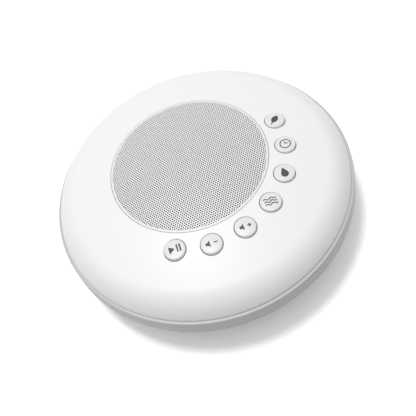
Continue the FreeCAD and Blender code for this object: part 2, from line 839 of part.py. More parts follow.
def make_key_board():
    body = new_body("key_board", of("sound_x"), of("sound_y"))
    plan = new_sketch(body, "board_plan", "XY_Plane", (0, 0, key_board_bottom))
    start = key_angle(0) + of("key_board_overrun")
    stop = key_angle(KEY_COUNT - 1) - of("key_board_overrun")
    middle = (start + stop) / 2
    inner, outer = of("key_board_inner"), of("key_board_outer")
    corners = [
        on_ring(inner, stop),
        on_ring(outer, stop),
        on_ring(outer, middle),
        on_ring(outer, start),
        on_ring(inner, start),
        on_ring(inner, middle),
    ]
    arcs = {1: (outer, 1), 2: (outer, 1), 4: (inner, -1), 5: (inner, -1)}
    draw_loop(plan, corners, arcs)
    pad(body, "board", plan, of("board_thickness"))
    holes = new_sketch(body, "screw_hole_plan", "XY_Plane", (0, 0, of("key_board_top")))
    places = [on_ring(of("key_post_ring"), key_angle(place)) for place in KEY_POST_PLACES]
    draw_circles(holes, places, of("screw_radius") + of("tongue_gap"))
    pocket(body, "screw_holes", holes, of("board_thickness") * 2)
    return body


# Loudspeaker, turned on the grille's axis.


def make_speaker():
    here = (of("sound_x"), of("sound_y"))
    items = []

    gasket = new_body("speaker_gasket", *here)
    ring = new_sketch(gasket, "ring_plan", "XY_Plane", (0, 0, frame_top))
    draw_circles(ring, [(0, 0)], of("frame_radius"))
    draw_circles(ring, [(0, 0)], of("collar_inner"))
    pad(gasket, "ring", ring, of("gasket_thickness"))
    items.append(gasket)

    frame = new_body("speaker_frame", *here)
    sheet_wall = of("frame_sheet")
    corners = [
        (of("basket_mouth"), frame_top),
        (of("frame_radius"), frame_top),
        (of("frame_radius"), frame_bottom),
        (of("basket_mouth"), frame_bottom),
        (of("basket_foot") + sheet_wall, plate_top + sheet_wall),
        (of("basket_foot") + sheet_wall, plate_top),
        (of("magnet_bore"), plate_top),
        (of("magnet_bore"), plate_top + sheet_wall),
        (of("basket_foot"), plate_top + sheet_wall),
        (of("basket_mouth") - sheet_wall, frame_bottom),
    ]
    turn(frame, "basket", corners)
    ear = new_sketch(frame, "ear_plan", "XY_Plane", (0, 0, frame_bottom))
    half_ear = of("frame_ear_radius")
    inner_x = of("basket_mouth") + of("frame_sheet") / 2
    outline = [
        (inner_x, -half_ear),
        (of("frame_ear_ring"), -half_ear),
        (of("frame_ear_ring"), half_ear),
        (inner_x, half_ear),
    ]
    draw_loop(ear, [turned(x, y, corner_angle(0)) for x, y in outline], {1: (half_ear, 1)})
    first = pad(frame, "ear", ear, of("frame_sheet"))
    repeat_round(frame, "ears", first, CORNER_COUNT)
    hole = new_sketch(frame, "ear_hole_plan", "XY_Plane", (0, 0, frame_top))
    draw_circles(
        hole,
        [on_ring(of("frame_ear_ring"), corner_angle(0))],
        of("screw_radius") + of("tongue_gap"),
    )
    first = pocket(frame, "ear_hole", hole, of("frame_sheet") * 2)
    repeat_round(frame, "ear_holes", first, CORNER_COUNT)
    # Four windows leave the basket standing on four legs.
    window = new_sketch(frame, "window_plan", "XY_Plane", (0, 0, frame_bottom - sheet_wall))
    inside, outside = of("basket_foot") + of("wall"), of("basket_mouth") + of("wall")
    spread = as_size(28.0)
    draw_loop(
        window,
        [
            on_ring(inside, -spread),
            on_ring(outside, -spread),
            on_ring(outside, spread),
            on_ring(inside, spread),
        ],
        {1: (outside, 1), 3: (inside, -1)},
    )
    first = pocket(frame, "window", window, of("basket_depth"))
    repeat_round(frame, "windows", first, CORNER_COUNT)
    items.append(frame)

    plate = new_body("speaker_top_plate", *here)
    coil_space = of("coil_radius") + of("coil_wall") + of("coil_gap")
    corners = [
        (coil_space, plate_bottom),
        (of("plate_radius"), plate_bottom),
        (of("plate_radius"), plate_top),
        (coil_space, plate_top),
    ]
    turn(plate, "plate", corners)
    items.append(plate)

    magnet = new_body("speaker_magnet", *here)
    corners = [
        (of("magnet_bore"), magnet_bottom),
        (of("magnet_radius"), magnet_bottom),
        (of("magnet_radius"), plate_bottom),
        (of("magnet_bore"), plate_bottom),
    ]
    turn(magnet, "ring", corners)
    items.append(magnet)

    yoke = new_body("speaker_yoke", *here)
    corners = [
        (0, yoke_bottom),
        (of("plate_radius"), yoke_bottom),
        (of("plate_radius"), magnet_bottom),
        (of("pole_radius"), magnet_bottom),
        (of("pole_radius"), plate_top),
        (0, plate_top),
    ]
    turn(yoke, "yoke", corners)
    items.append(yoke)

    # The coil's tube carries the cone, and the spider centres it over the pole.
    coil_top = plate_top + of("frame_sheet") * 4
    coil = new_body("voice_coil", *here)
    corners = [
        (of("coil_radius"), plate_bottom - of("plate_thickness") / 2),
        (of("coil_radius") + of("coil_wall"), plate_bottom - of("plate_thickness") / 2),
        (of("coil_radius") + of("coil_wall"), coil_top),
        (of("coil_radius"), coil_top),
    ]
    turn(coil, "tube", corners)
    items.append(coil)

    spider = new_body("speaker_spider", *here)
    spider_outer = of("basket_foot") - of("coil_gap")
    spider_inner = of("coil_radius") + of("coil_wall")
    low = plate_top + of("frame_sheet")
    high = low + of("cone_sheet")
    wave = (spider_outer - spider_inner) / 4
    ripple = of("cone_sheet")
    lower = []
    upper = []
    for step, lift in enumerate((1, 2, 1, 2, 0)):
        radius = spider_inner + wave * step
        lower.append((radius, low + ripple * lift))
        upper.insert(0, (radius, high + ripple * lift))
    turn(spider, "rings", lower + upper)
    items.append(spider)

    cone = new_body("speaker_cone", *here)
    cone_foot = of("coil_radius") + of("coil_wall")
    cone_low = coil_top - of("frame_sheet")
    cone_high = frame_top - of("frame_sheet") / 2
    corners = [
        (cone_foot, cone_low),
        (of("cone_radius"), cone_high),
        (of("cone_radius"), cone_high + of("cone_sheet")),
        (cone_foot, cone_low + of("cone_sheet") * 2),
    ]
    turn(cone, "cone", corners)
    items.append(cone)

    surround = new_body("speaker_surround", *here)
    roll = of("surround_roll")
    inner = of("cone_radius")
    outer = inner + roll * 2
    thin = of("cone_sheet")
    foot = cone_high
    corners = [
        (inner, foot),
        (inner + thin, foot),
        (outer - thin, foot),
        (of("collar_inner") - of("tongue_gap"), foot),
        (of("collar_inner") - of("tongue_gap"), foot + thin),
        (outer, foot + thin),
        (inner, foot + thin),
    ]
    arcs = {1: (roll - thin, -1), 5: (roll, 1)}
    turn(surround, "roll", corners, arcs)
    items.append(surround)

    cap = new_body("speaker_dust_cap", *here)
    cap_radius = of("coil_radius")
    cap_foot = coil_top
    ball = cap_radius * 1.3
    rise = ball - root(ball * ball - cap_radius * cap_radius)
    inner_rise = rise - thin
    inner_ball = (cap_radius - thin) * (cap_radius - thin) / (inner_rise * 2) + inner_rise / 2
    corners = [
        (0, cap_foot + rise),
        (cap_radius, cap_foot),
        (cap_radius - thin, cap_foot),
        (0, cap_foot + inner_rise),
    ]
    turn(cap, "dome", corners, {0: (ball, -1), 2: (inner_ball, 1)})
    items.append(cap)
    return items


# Screws, as separate solids under one name for each size and use.


def screw_set(label, places, head_seat, length, radius, head_radius, head, heads_down):
    """Pan-head screws: heads_down ones are driven up from below, the others down from above."""
    items = []
    for index, (x, y) in enumerate(places):
        low = head_seat if heads_down else head_seat - length
        head_low = head_seat - head if heads_down else head_seat
        shank_size = {"Radius": radius, "Height": length}
        head_size = {"Radius": head_radius, "Height": head}
        shank = primitive("Part::Cylinder", f"{label}_shank_{index}", shank_size, x, y, low)
        cap = primitive("Part::Cylinder", f"{label}_head_{index}", head_size, x, y, head_low)
        screw = document.addObject("Part::Fuse", f"{label}_{index}")
        screw.Base = shank
        screw.Tool = cap
        items.append(screw)
    return group(label, items)


def from_sound_axis(ring, angles):
    places = []
    for degrees in angles:
        x, y = on_ring(ring, degrees)
        places.append((of("sound_x") + x, of("sound_y") + y))
    return places


def make_screws():
    corners = [corner_angle(index) for index in range(CORNER_COUNT)]
    thread = of("pilot_radius")
    return [
        screw_set(
            "speaker_screws",
            from_sound_axis(of("frame_ear_ring"), corners),
            frame_bottom,
            of("frame_sheet") + of("wall") - of("layer_gap"),
            thread,
            of("screw_head_radius"),
            of("screw_head"),
            True,
        ),
        screw_set(
            "key_board_screws",
            from_sound_axis(of("key_post_ring"), [key_angle(place) for place in KEY_POST_PLACES]),
            key_board_bottom,
            of("board_thickness") + of("wall") * 1.8,
            thread,
            of("screw_head_radius"),
            of("screw_head"),
            True,
        ),
        screw_set(
            "main_board_screws",
            four_corners(of("main_post_x"), of("main_post_back"), of("main_post_front")),
            of("main_board_top"),
            of("board_thickness") + of("wall") * 1.8,
            thread,
            of("screw_head_radius"),
            of("screw_head"),
            False,
        ),
        screw_set(
            "case_screws",
            [on_ring(of("case_post_ring"), degrees) for degrees in corners],
            of("case_split_height") - of("case_floor"),
            of("case_floor") + of("wall") * 3.5,
            of("case_pilot_radius"),
            of("case_head_radius"),
            of("screw_head"),
            True,
        ),
    ]


# Circuit board at the back, and what stands on it.


def make_main_board():
    body = new_body("main_board")
    plan = new_sketch(body, "board_plan", "XY_Plane", (0, 0, main_board_bottom))
    half = of("main_board_width") / 2
    edge = of("main_board_edge")
    corner_y = root(edge * edge - half * half)
    corners = [
        (-half, of("main_board_front")),
        (half, of("main_board_front")),
        (half, corner_y),
        (-half, corner_y),
    ]
    draw_loop(plan, corners, {2: (edge, 1)})
    pad(body, "board", plan, of("board_thickness"))
    holes = new_sketch(body, "screw_hole_plan", "XY_Plane", (0, 0, of("main_board_top")))
    places = four_corners(of("main_post_x"), of("main_post_back"), of("main_post_front"))
    draw_circles(holes, places, of("screw_radius") + of("tongue_gap"))
    pocket(body, "screw_holes", holes, of("board_thickness") * 2)
    return body


def block(name, length, width, height, x, y, z):
    """A box that stands on z with its middle at x, y."""
    length, width, height = as_size(length), as_size(width), as_size(height)
    sizes = {"Length": length, "Width": width, "Height": height}
    return primitive("Part::Box", name, sizes, as_size(x) - length / 2, as_size(y) - width / 2, z)


def socket_y():
    return of("main_board_front") + of("socket_set_back")


def make_board_parts():
    top = of("main_board_top")
    row_y = of("main_board_front") + of("chip_row")
    large, small, tall = of("sound_chip_side"), of("small_chip_side"), of("chip_height")
    chips = [block("sound_chip", large, large, tall, 0.0, row_y, top)]
    chips.append(block("memory_chip", small, small, tall, 0.0, row_y - of("chip_spacing"), top))
    for side in (-1, 1):
        y = row_y + small / 2
        x = of("chip_spacing") * side * 0.75
        chips.append(block(f"small_chip_{side + 2}", small, small, tall, x, y, top))
    cans = []
    for side in (-1, 1):
        sizes = {"Radius": of("capacitor_radius"), "Height": of("capacitor_height")}
        x = of("capacitor_x") * side
        cans.append(primitive("Part::Cylinder", f"capacitor_{side + 2}", sizes, x, row_y - small / 2, top))
    inlet_back = band_radius - of("band_flare") / 2 - of("inlet_set_back") - of("inlet_length")
    metal = new_body("power_inlet")
    plan = new_sketch(metal, "shell_plan", "XZ_Plane", (0, 0, -inlet_back))
    half_high = of("inlet_height") / 2
    half_flat = of("inlet_width") / 2 - half_high
    outline = [
        (-half_flat, inlet_z - half_high),
        (half_flat, inlet_z - half_high),
        (half_flat, inlet_z + half_high),
        (-half_flat, inlet_z + half_high),
    ]
    draw_loop(plan, outline, {1: (half_high, 1), 3: (half_high, 1)})
    pad(metal, "shell", plan, of("inlet_length"), down=True)
    mouth = new_sketch(metal, "mouth_plan", "XZ_Plane", (0, 0, -(inlet_back + of("inlet_length"))))
    bore_high = half_high - of("inlet_sheet")
    bore = [
        (-half_flat, inlet_z - bore_high),
        (half_flat, inlet_z - bore_high),
        (half_flat, inlet_z + bore_high),
        (-half_flat, inlet_z + bore_high),
    ]
    draw_loop(mouth, bore, {1: (bore_high, 1), 3: (bore_high, 1)})
    pocket(metal, "mouth", mouth, of("inlet_length") - 1, up=True)
    tongue = block(
        "inlet_tongue",
        of("inlet_tongue_width"),
        of("inlet_length") - 2.0,
        of("inlet_tongue"),
        0.0,
        inlet_back + of("inlet_length") / 2,
        inlet_z - of("inlet_tongue") / 2,
    )
    tongue.Label = "inlet_tongue"
    sockets = []
    for side in (-1, 1):
        socket_sizes = (of("socket_length"), of("socket_width"), of("socket_height"))
        x = of("socket_x") * side
        sockets.append(block(f"lead_socket_{side + 2}", *socket_sizes, x, socket_y(), top))
    return [
        group("main_chips", chips),
        group("board_capacitors", cans),
        metal,
        tongue,
        group("lead_sockets", sockets),
    ]


# Battery, its pad and its leads, and the loudspeaker's leads.


def make_battery():
    low = of("battery_bottom") - of("battery_pad")
    cell = block(
        "battery_block",
        of("battery_length"),
        of("battery_width"),
        of("battery_height"),
        0.0,
        of("battery_y"),
        of("battery_bottom"),
    )
    rounded = document.addObject("Part::Fillet", "battery_cell")
    rounded.Base = cell
    long_edges = [
        number
        for number, edge in enumerate(cell_edges(cell), 1)
        if abs(edge.tangentAt(edge.FirstParameter).x) > 0.9
    ]
    rounding = SIZES["cell_round"]
    rounded.Edges = [(number, rounding, rounding) for number in long_edges]
    pad_item = block(
        "battery_pad",
        of("battery_length") - of("cell_round") * 3,
        of("battery_width") - of("cell_round") * 2,
        of("battery_pad"),
        0.0,
        of("battery_y"),
        low,
    )
    pad_item.Label = "battery_pad"
    return [rounded, pad_item]


def cell_edges(item):
    document.recompute()
    return item.Shape.Edges


def lead_wire(points, radius):
    """A tube along straight runs that are joined by arcs as large as the runs allow."""
    corners = [FreeCAD.Vector(*point) for point in points]
    edges = []
    start = corners[0]
    tightest = None
    for before, corner, after in zip(corners, corners[1:], corners[2:]):
        arrive = (corner - before).normalize()
        leave = (after - corner).normalize()
        turn_angle = arrive.getAngle(leave)
        shorter = min((corner - before).Length, (after - corner).Length)
        reach = 0.45 * shorter
        bend = reach / math.tan(turn_angle / 2)
        tightest = bend if tightest is None else min(tightest, bend)
        into = corner - arrive * reach
        out = corner + leave * reach
        inward = (leave - arrive).normalize()
        middle = corner + inward * (bend / math.cos(turn_angle / 2) - bend)
        edges.append(Part.LineSegment(start, into).toShape())
        edges.append(Part.Arc(into, middle, out).toShape())
        start = out
    edges.append(Part.LineSegment(start, corners[-1]).toShape())
    path = Part.Wire(edges)
    first_way = (corners[1] - corners[0]).normalize()
    ring = Part.Wire([Part.Circle(corners[0], first_way, radius).toShape()])
    tube = path.makePipeShell([ring], True, False)
    expected = math.pi * radius**2 * path.Length
    if abs(tube.Volume - expected) > 0.02 * expected:
        raise RuntimeError("a lead's volume differs from its section times its length")
    print(f"lead: {path.Length:.1f} mm long, tightest bend {tightest:.1f} mm")
    return tube


LEAD_RADIUS = 0.6
SPEAKER_LEAD = [
    (-9.1, 41.5, 24.9),
    (-9.1, 41.5, 27.2),
    (-7.2, 38.6, 28.2),
    (-5.4, 35.2, 27.4),
    (-4.6, 31.35, 26.0),
]
BATTERY_LEAD = [
    (10.9, 41.5, 24.9),
    (10.9, 41.5, 27.2),
    (15.6, 38.5, 28.0),
    (23.5, 33.5, 23.0),
    (29.5, 26.0, 15.5),
    (33.0, 14.0, 10.5),
    (34.0, -2.0, 9.0),
    (33.0, -18.0, 9.6),
    (29.0, -27.5, 10.8),
    (23.9, -29.6, 11.0),
]
LEAD_SPACING = (-1.8, 0.0, 0.0)


def make_leads():
    items = []
    for label, points, end_step in (
        ("speaker_leads", SPEAKER_LEAD, (-1.8, 0.0, 0.0)),
        ("battery_leads", BATTERY_LEAD, (0.0, -3.0, 0.0)),
    ):
        second = []
        for number, point in enumerate(points):
            share = number / (len(points) - 1)
            step = [a * (1 - share) + b * share for a, b in zip(LEAD_SPACING, end_step)]
            second.append(tuple(a + b for a, b in zip(point, step)))
        leads = document.addObject("Part::Feature", label)
        leads.Label = label
        leads.Shape = Part.makeCompound([lead_wire(points, LEAD_RADIUS), lead_wire(second, LEAD_RADIUS)])
        items.append(leads)
    top = of("main_board_top") + of("socket_height")
    plug_sizes = (of("plug_length"), of("plug_width"), of("plug_height"))
    for label, x in (("speaker_plug", -of("socket_x")), ("battery_plug", of("socket_x"))):
        plug = block(label, *plug_sizes, x, socket_y(), top)
        plug.Label = label
        items.append(plug)
    terminal_y = of("sound_y") + of("basket_mouth") + of("terminal_sheet")
    terminal = block(
        "speaker_terminal",
        of("terminal_width"),
        of("terminal_sheet"),
        of("terminal_height"),
        of("sound_x") - 2.9,
        terminal_y,
        frame_bottom - of("terminal_height"),
    )
    terminal.Label = "speaker_terminal"
    items.append(terminal)
    return items


# Flat cable from the key board to the main board, in one upright plane.


def make_flat_cable():
    start = FreeCAD.Vector(44.0, 21.0, 0)
    end = FreeCAD.Vector(20.0, 51.0, 0)
    way = end - start
    body = new_body("flat_cable")
    body.Placement = FreeCAD.Placement(
        start, FreeCAD.Rotation(FreeCAD.Vector(0, 0, 1), math.degrees(math.atan2(way.y, way.x)))
    )
    plan = new_sketch(body, "cable_section", "XZ_Plane")
    span = as_size(way.Length)
    thick = of("cable_film")
    high = key_board_bottom
    low = of("main_board_top")
    lean = of("cable_lap")
    corners = [
        (0, high),
        (0, high - thick),
        (lean, high - thick),
        (span - lean, low),
        (span, low),
        (span, low + thick),
        (span - lean, low + thick),
        (lean, high),
    ]
    draw_loop(plan, corners)
    feature = body.newObject("PartDesign::Pad", "cable")
    feature.Profile = plan
    feature.Midplane = True
    bind(feature, "Length", of("cable_width"))
    document.recompute()
    return body


def make_foot(index):
    label = f"rubber_foot_{index + 1}"
    x, y = on_ring(of("foot_ring"), corner_angle(index))
    body = new_body(label, x, y)
    chamfer = of("foot_recess") / 2
    top = of("foot_stand") + of("foot_recess")
    corners = [
        (0, 0),
        (of("foot_radius") - chamfer, 0),
        (of("foot_radius"), chamfer),
        (of("foot_radius"), top),
        (0, top),
    ]
    turn(body, "pad", corners)
    return body


parts = [make_top_shell(), make_bottom_shell(), make_grille(), make_cloth()]
parts += [make_key(index) for index in range(KEY_COUNT)]
parts += [make_plunger(index) for index in range(KEY_COUNT)]
parts += [make_switches(), make_key_board()]
parts += make_speaker()
parts += [make_main_board()]
parts += make_board_parts()
parts += make_battery()
parts += make_leads()
parts += [make_flat_cable()]
parts += make_screws()
parts += [make_foot(index) for index in range(CORNER_COUNT)]
document.recompute()

for item in document.Objects:
    if "Invalid" in item.State or "Error" in item.State:
        raise RuntimeError(f"{item.Label} is {item.State}")
for item in parts:
    if item.Shape.isNull() or not item.Shape.isValid():
        raise RuntimeError(f"{item.Label} has no valid shape")

os.makedirs("parts", exist_ok=True)
for item in parts:
    item.Shape.exportStep(f"parts/{item.Label}.step")
print(f"{len(parts)} sub-parts")
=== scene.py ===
import math

import bmesh
import bpy
from mathutils import Matrix, Vector


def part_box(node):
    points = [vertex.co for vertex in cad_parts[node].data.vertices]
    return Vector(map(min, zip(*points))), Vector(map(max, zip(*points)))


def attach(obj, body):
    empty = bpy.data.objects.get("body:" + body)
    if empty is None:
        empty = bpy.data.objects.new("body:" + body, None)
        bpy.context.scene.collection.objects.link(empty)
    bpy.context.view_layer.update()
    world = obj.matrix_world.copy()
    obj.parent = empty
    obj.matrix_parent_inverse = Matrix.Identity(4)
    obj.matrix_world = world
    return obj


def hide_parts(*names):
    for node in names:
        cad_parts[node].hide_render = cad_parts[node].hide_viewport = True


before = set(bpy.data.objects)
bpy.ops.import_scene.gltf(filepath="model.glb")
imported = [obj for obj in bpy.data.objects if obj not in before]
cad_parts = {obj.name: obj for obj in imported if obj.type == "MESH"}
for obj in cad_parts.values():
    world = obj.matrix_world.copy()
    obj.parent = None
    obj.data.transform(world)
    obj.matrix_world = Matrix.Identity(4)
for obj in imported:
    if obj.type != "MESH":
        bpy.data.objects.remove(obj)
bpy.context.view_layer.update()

# Top moulding: one injection moulding of white ABS with a fine matte surface. A shallow crown runs
# into a rounded rim that ends in a sharp edge over the seam. It has a round recess for the grille
# and seven bores for the keys, and is held by four screws from below.

MM = 0.001
ROUND_STEPS = 288
shell_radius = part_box("top_shell")[1].x / MM
crease_height = 23.8
crown_rise = 12.2
rim_radius = 13.0
rim_inset = 12.0
shell_wall = 2.2
seam_gap = 0.4
seam_depth = 1.0
skirt_angle = 50.0
skirt_inner = 66.6
edge_round = 0.28
rim_centre = (shell_radius - rim_inset, crease_height - math.sqrt(rim_radius**2 - rim_inset**2))
rim_drop = crease_height - rim_centre[1]
crown_below = (rim_centre[0] ** 2 + rim_drop**2 - (crown_rise - rim_radius) ** 2) / (
    2 * (crown_rise - rim_radius + rim_drop)
)
crown_radius = crown_rise + crown_below
crown_centre = crease_height - crown_below


def arc(centre, radius, first, last, steps):
    """Points on an arc in a half section. Angles are in degrees from straight up, outwards."""
    points = []
    for step in range(steps + 1):
        angle = math.radians(first + (last - first) * step / steps)
        points.append((centre[0] + radius * math.sin(angle), centre[1] + radius * math.cos(angle)))
    return points


def rounded(before, corner, after, radius, steps=5):
    """A corner of a half section, rounded off within a radius of the corner."""
    corner = Vector(corner)
    start = corner + (Vector(before) - corner).normalized() * radius
    end = corner + (Vector(after) - corner).normalized() * radius
    points = []
    for step in range(steps + 1):
        share = step / steps
        points.append(tuple(start.lerp(corner, share).lerp(corner.lerp(end, share), share)))
    return points


def crown_height(x, y, below=0.0):
    """Height of the crown over a point, or of a surface that lies some way below it."""
    return crown_centre + math.sqrt((crown_radius - below) ** 2 - x * x - y * y)


def as_object(name, shape):
    """The finished bmesh as an object in the scene."""
    mesh = bpy.data.meshes.new(name)
    shape.to_mesh(mesh)
    shape.free()
    item = bpy.data.objects.new(name, mesh)
    bpy.context.collection.objects.link(item)
    return item


def turned(name, section, centre=(0.0, 0.0), steps=ROUND_STEPS):
    """A closed half section in millimetres turned round an upright axis, as an object in metres."""
    shape = bmesh.new()
    rings = []
    for radius, height in section:
        if radius < 1e-6:
            rings.append([shape.verts.new((centre[0] * MM, centre[1] * MM, height * MM))])
            continue
        ring = []
        for step in range(steps):
            angle = 2 * math.pi * step / steps
            x = centre[0] + radius * math.cos(angle)
            y = centre[1] + radius * math.sin(angle)
            ring.append(shape.verts.new((x * MM, y * MM, height * MM)))
        rings.append(ring)
    pairs = list(zip(rings, rings[1:]))
    if len(rings[0]) > 1:
        pairs.append((rings[-1], rings[0]))
    for one, other in pairs:
        for step in range(steps):
            following = (step + 1) % steps
            corners = [one[step % len(one)], one[following % len(one)]]
            corners += [other[following % len(other)], other[step % len(other)]]
            distinct = list(dict.fromkeys(corners))
            if len(distinct) > 2:
                shape.faces.new(distinct)
    bmesh.ops.recalc_face_normals(shape, faces=shape.faces)
    return as_object(name, shape)


def on_posts(name, section, places, steps):
    """The same half section turned at each place, as a list of objects."""
    return [turned(f"{name}_{index}", section, place, steps) for index, place in enumerate(places, 1)]


def smooth(item, angle=30.0):
    item.data.shade_smooth()
    item.data.set_sharp_from_angle(angle=math.radians(angle))
    return item


def combined(item, tool, operation):
    """Cuts, joins or intersects with a tool, and takes the tool away."""
    modifier = item.modifiers.new("combine", "BOOLEAN")
    modifier.operation = operation
    modifier.solver = "EXACT"
    modifier.object = tool
    evaluated = item.evaluated_get(bpy.context.evaluated_depsgraph_get())
    mesh = bpy.data.meshes.new_from_object(evaluated)
    item.modifiers.remove(modifier)
    item.data = mesh
    bpy.data.objects.remove(tool)
    return item


def joined(name, items):
    """Several objects made into one mesh."""
    shape = bmesh.new()
    for item in items:
        shape.from_mesh(item.data)
        bpy.data.objects.remove(item)
    return as_object(name, shape)


def finish(name, colour, roughness, metal=0.0, grain=0.0, grain_size=0.2, tone=0.0, tone_size=8.0):
    """A solid finish with a fine grain and a slight change of tone, both sized in millimetres."""
    material = bpy.data.materials.new(name)
    material.use_nodes = True
    nodes, links = material.node_tree.nodes, material.node_tree.links
    shader = nodes["Principled BSDF"]
    shader.inputs["Base Color"].default_value = (*colour, 1.0)
    shader.inputs["Roughness"].default_value = roughness
    shader.inputs["Metallic"].default_value = metal
    where = nodes.new("ShaderNodeTexCoord")
    if grain:
        noise = nodes.new("ShaderNodeTexNoise")
        noise.inputs["Scale"].default_value = 1.0 / (grain_size * MM)
        noise.inputs["Detail"].default_value = 3.0
        bump = nodes.new("ShaderNodeBump")
        bump.inputs["Strength"].default_value = grain
        bump.inputs["Distance"].default_value = grain_size * MM * 0.2
        links.new(where.outputs["Object"], noise.inputs["Vector"])
        links.new(noise.outputs["Fac"], bump.inputs["Height"])
        links.new(bump.outputs["Normal"], shader.inputs["Normal"])
    if tone:
        cloud = nodes.new("ShaderNodeTexNoise")
        cloud.inputs["Scale"].default_value = 1.0 / (tone_size * MM)
        ramp = nodes.new("ShaderNodeValToRGB")
        ramp.color_ramp.elements[0].color = (*(part * (1 - tone) for part in colour), 1.0)
        ramp.color_ramp.elements[1].color = (*colour, 1.0)
        ramp.color_ramp.elements[0].position = 0.3
        ramp.color_ramp.elements[1].position = 0.7
        links.new(where.outputs["Object"], cloud.inputs["Vector"])
        links.new(cloud.outputs["Fac"], ramp.inputs["Fac"])
        links.new(ramp.outputs["Color"], shader.inputs["Base Color"])
    return material


def settle(item, material, body, slot, *nodes):
    """Gives a finished piece its material and its body, and hides the nodes it stands for. The slot is not
    used.
    """
    item.data.materials.clear()
    item.data.materials.append(material)
    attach(item, body)
    if nodes:
        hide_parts(*nodes)


meet_angle = math.degrees(math.asin(rim_centre[0] / (crown_radius - rim_radius)))
edge_angle = math.degrees(math.atan2(rim_inset, rim_drop))
outer_rim = arc(rim_centre, rim_radius, meet_angle, edge_angle, 44)
crown_line = arc((0.0, crown_centre), crown_radius, 0.0, meet_angle, 60)
edge_corner = (shell_radius, crease_height)
seam_floor = (shell_radius - seam_depth, crease_height)
inner_rim = arc(rim_centre, rim_radius - shell_wall, skirt_angle, meet_angle, 16)
inner_crown = arc((0.0, crown_centre), crown_radius - shell_wall, meet_angle, 0.0, 20)
top_section = crown_line[:-1] + outer_rim[:-1]
top_section += rounded(outer_rim[-2], edge_corner, seam_floor, edge_round)
top_section += [
    seam_floor,
    (seam_floor[0], crease_height - seam_gap),
    (skirt_inner, crease_height - seam_gap),
]
top_section += inner_rim[:-1] + inner_crown
top_moulding = turned("top_moulding", top_section)

grille_low, grille_high = (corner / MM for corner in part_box("speaker_grille"))
sound_axis = ((grille_low.x + grille_high.x) / 2, (grille_low.y + grille_high.y) / 2)
grille_radius = (grille_high.x - grille_low.x) / 2
grille_clear = 0.15
recess_radius = grille_radius + grille_clear
recess_lip = 0.22
recess_floor = 32.3
key_names = ["leaf_key", "timer_key", "rain_key", "wave_key", "volume_up_key", "volume_down_key", "play_key"]
key_centres = {}
for key in key_names:
    key_low, key_high = (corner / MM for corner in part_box(key))
    key_centres[key] = ((key_low.x + key_high.x) / 2, (key_low.y + key_high.y) / 2)
key_radius = 4.6
key_clear = 0.27
bore_radius = key_radius + key_clear
bore_lip = 0.2


def mouth_cutter(name, centre, radius, lip, floor, steps):
    """A bore's cutter, widened where it leaves the crown by a lip that follows the crown's slope."""
    section = [(0.0, 0.0), (radius, 0.0), (radius, 1.0), (radius + 6 * lip, 2.0), (0.0, 2.0)]
    cutter = turned(name, section, centre, steps)
    for vertex in cutter.data.vertices:
        surface = crown_height(vertex.co.x / MM, vertex.co.y / MM)
        level = round(vertex.co.z / MM)
        vertex.co.z = (floor, surface - lip, surface + 5 * lip)[level] * MM
    return cutter


recess = mouth_cutter("recess", sound_axis, recess_radius, recess_lip, recess_floor, ROUND_STEPS)
combined(top_moulding, recess, "DIFFERENCE")
bore_cutters = [
    mouth_cutter(f"{key}_cutter", centre, bore_radius, bore_lip, crease_height, 96)
    for key, centre in key_centres.items()
]
combined(top_moulding, joined("bore_cutters", bore_cutters), "DIFFERENCE")
smooth(top_moulding, 25.0)
white_abs = finish("white_abs", (0.865, 0.853, 0.867), 0.42, grain=0.12, grain_size=0.12)
settle(top_moulding, white_abs, "case", "white_shell", "top_shell")


# Key guides: short tubes under the bores of the top moulding and the collar over the loudspeaker,
# moulded with it in the same white ABS. They keep the keys upright and seal the loudspeaker's edge.

guide_foot, guide_top, guide_wall = 30.7, 32.4, 2.0
guide_section = [
    (bore_radius, guide_foot),
    (bore_radius + guide_wall, guide_foot),
    (bore_radius + guide_wall, guide_top),
    (bore_radius, guide_top),
]
guides = [turned(f"{key}_guide", guide_section, centre, 64) for key, centre in key_centres.items()]
collar_inner, collar_outer, collar_foot, collar_top = 26.6, 29.4, 30.6, 33.0
collar_section = [
    (collar_inner, collar_foot),
    (collar_outer, collar_foot),
    (collar_outer, collar_top),
    (collar_inner, collar_top),
]
guides.append(turned("speaker_collar", collar_section, sound_axis, 128))
key_guides = smooth(joined("key_guides", guides))
settle(key_guides, white_abs, "case", "white_shell")


# Lower moulding: a bowl of pale grey ABS. Its colour is partly that grey and partly painted shade, set
# darker so that the band looks shaded. Its lip stands out under the seam, a flared band runs round below
# it, and the belly curves in to a flat base with seats for the feet, four sunk screw holes and a window at
# the back for the power inlet.

base_low, base_high = (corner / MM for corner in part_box("bottom_shell"))
band_radius = base_high.x
lip_overhang = 1.3
lip_radius = shell_radius + lip_overhang
base_floor = base_low.z
band_height = 8.2
band_bottom = crease_height - band_height
band_round = 1.0
belly_radius = 60.0
base_radius = 47.0
lip_round = 0.35
open_seam = 0.28
lip_height = crease_height - open_seam
tongue_outer = skirt_inner - 0.15
tongue_inner = tongue_outer - 1.8
tongue_top = lip_height + 1.6
tongue_root = lip_height - 2.4


def arc_between(start, end, radius, steps):
    """Points on the arc from start to end whose centre lies left of the way."""
    start, end = Vector(start), Vector(end)
    chord = end - start
    left = Vector((-chord.y, chord.x)).normalized()
    centre = (start + end) / 2 + left * math.sqrt(radius**2 - (chord.length / 2) ** 2)
    first = math.atan2(start.y - centre.y, start.x - centre.x)
    last = math.atan2(end.y - centre.y, end.x - centre.x)
    points = []
    for step in range(steps + 1):
        angle = first + (last - first) * step / steps
        points.append((centre.x + radius * math.cos(angle), centre.y + radius * math.sin(angle)))
    return points


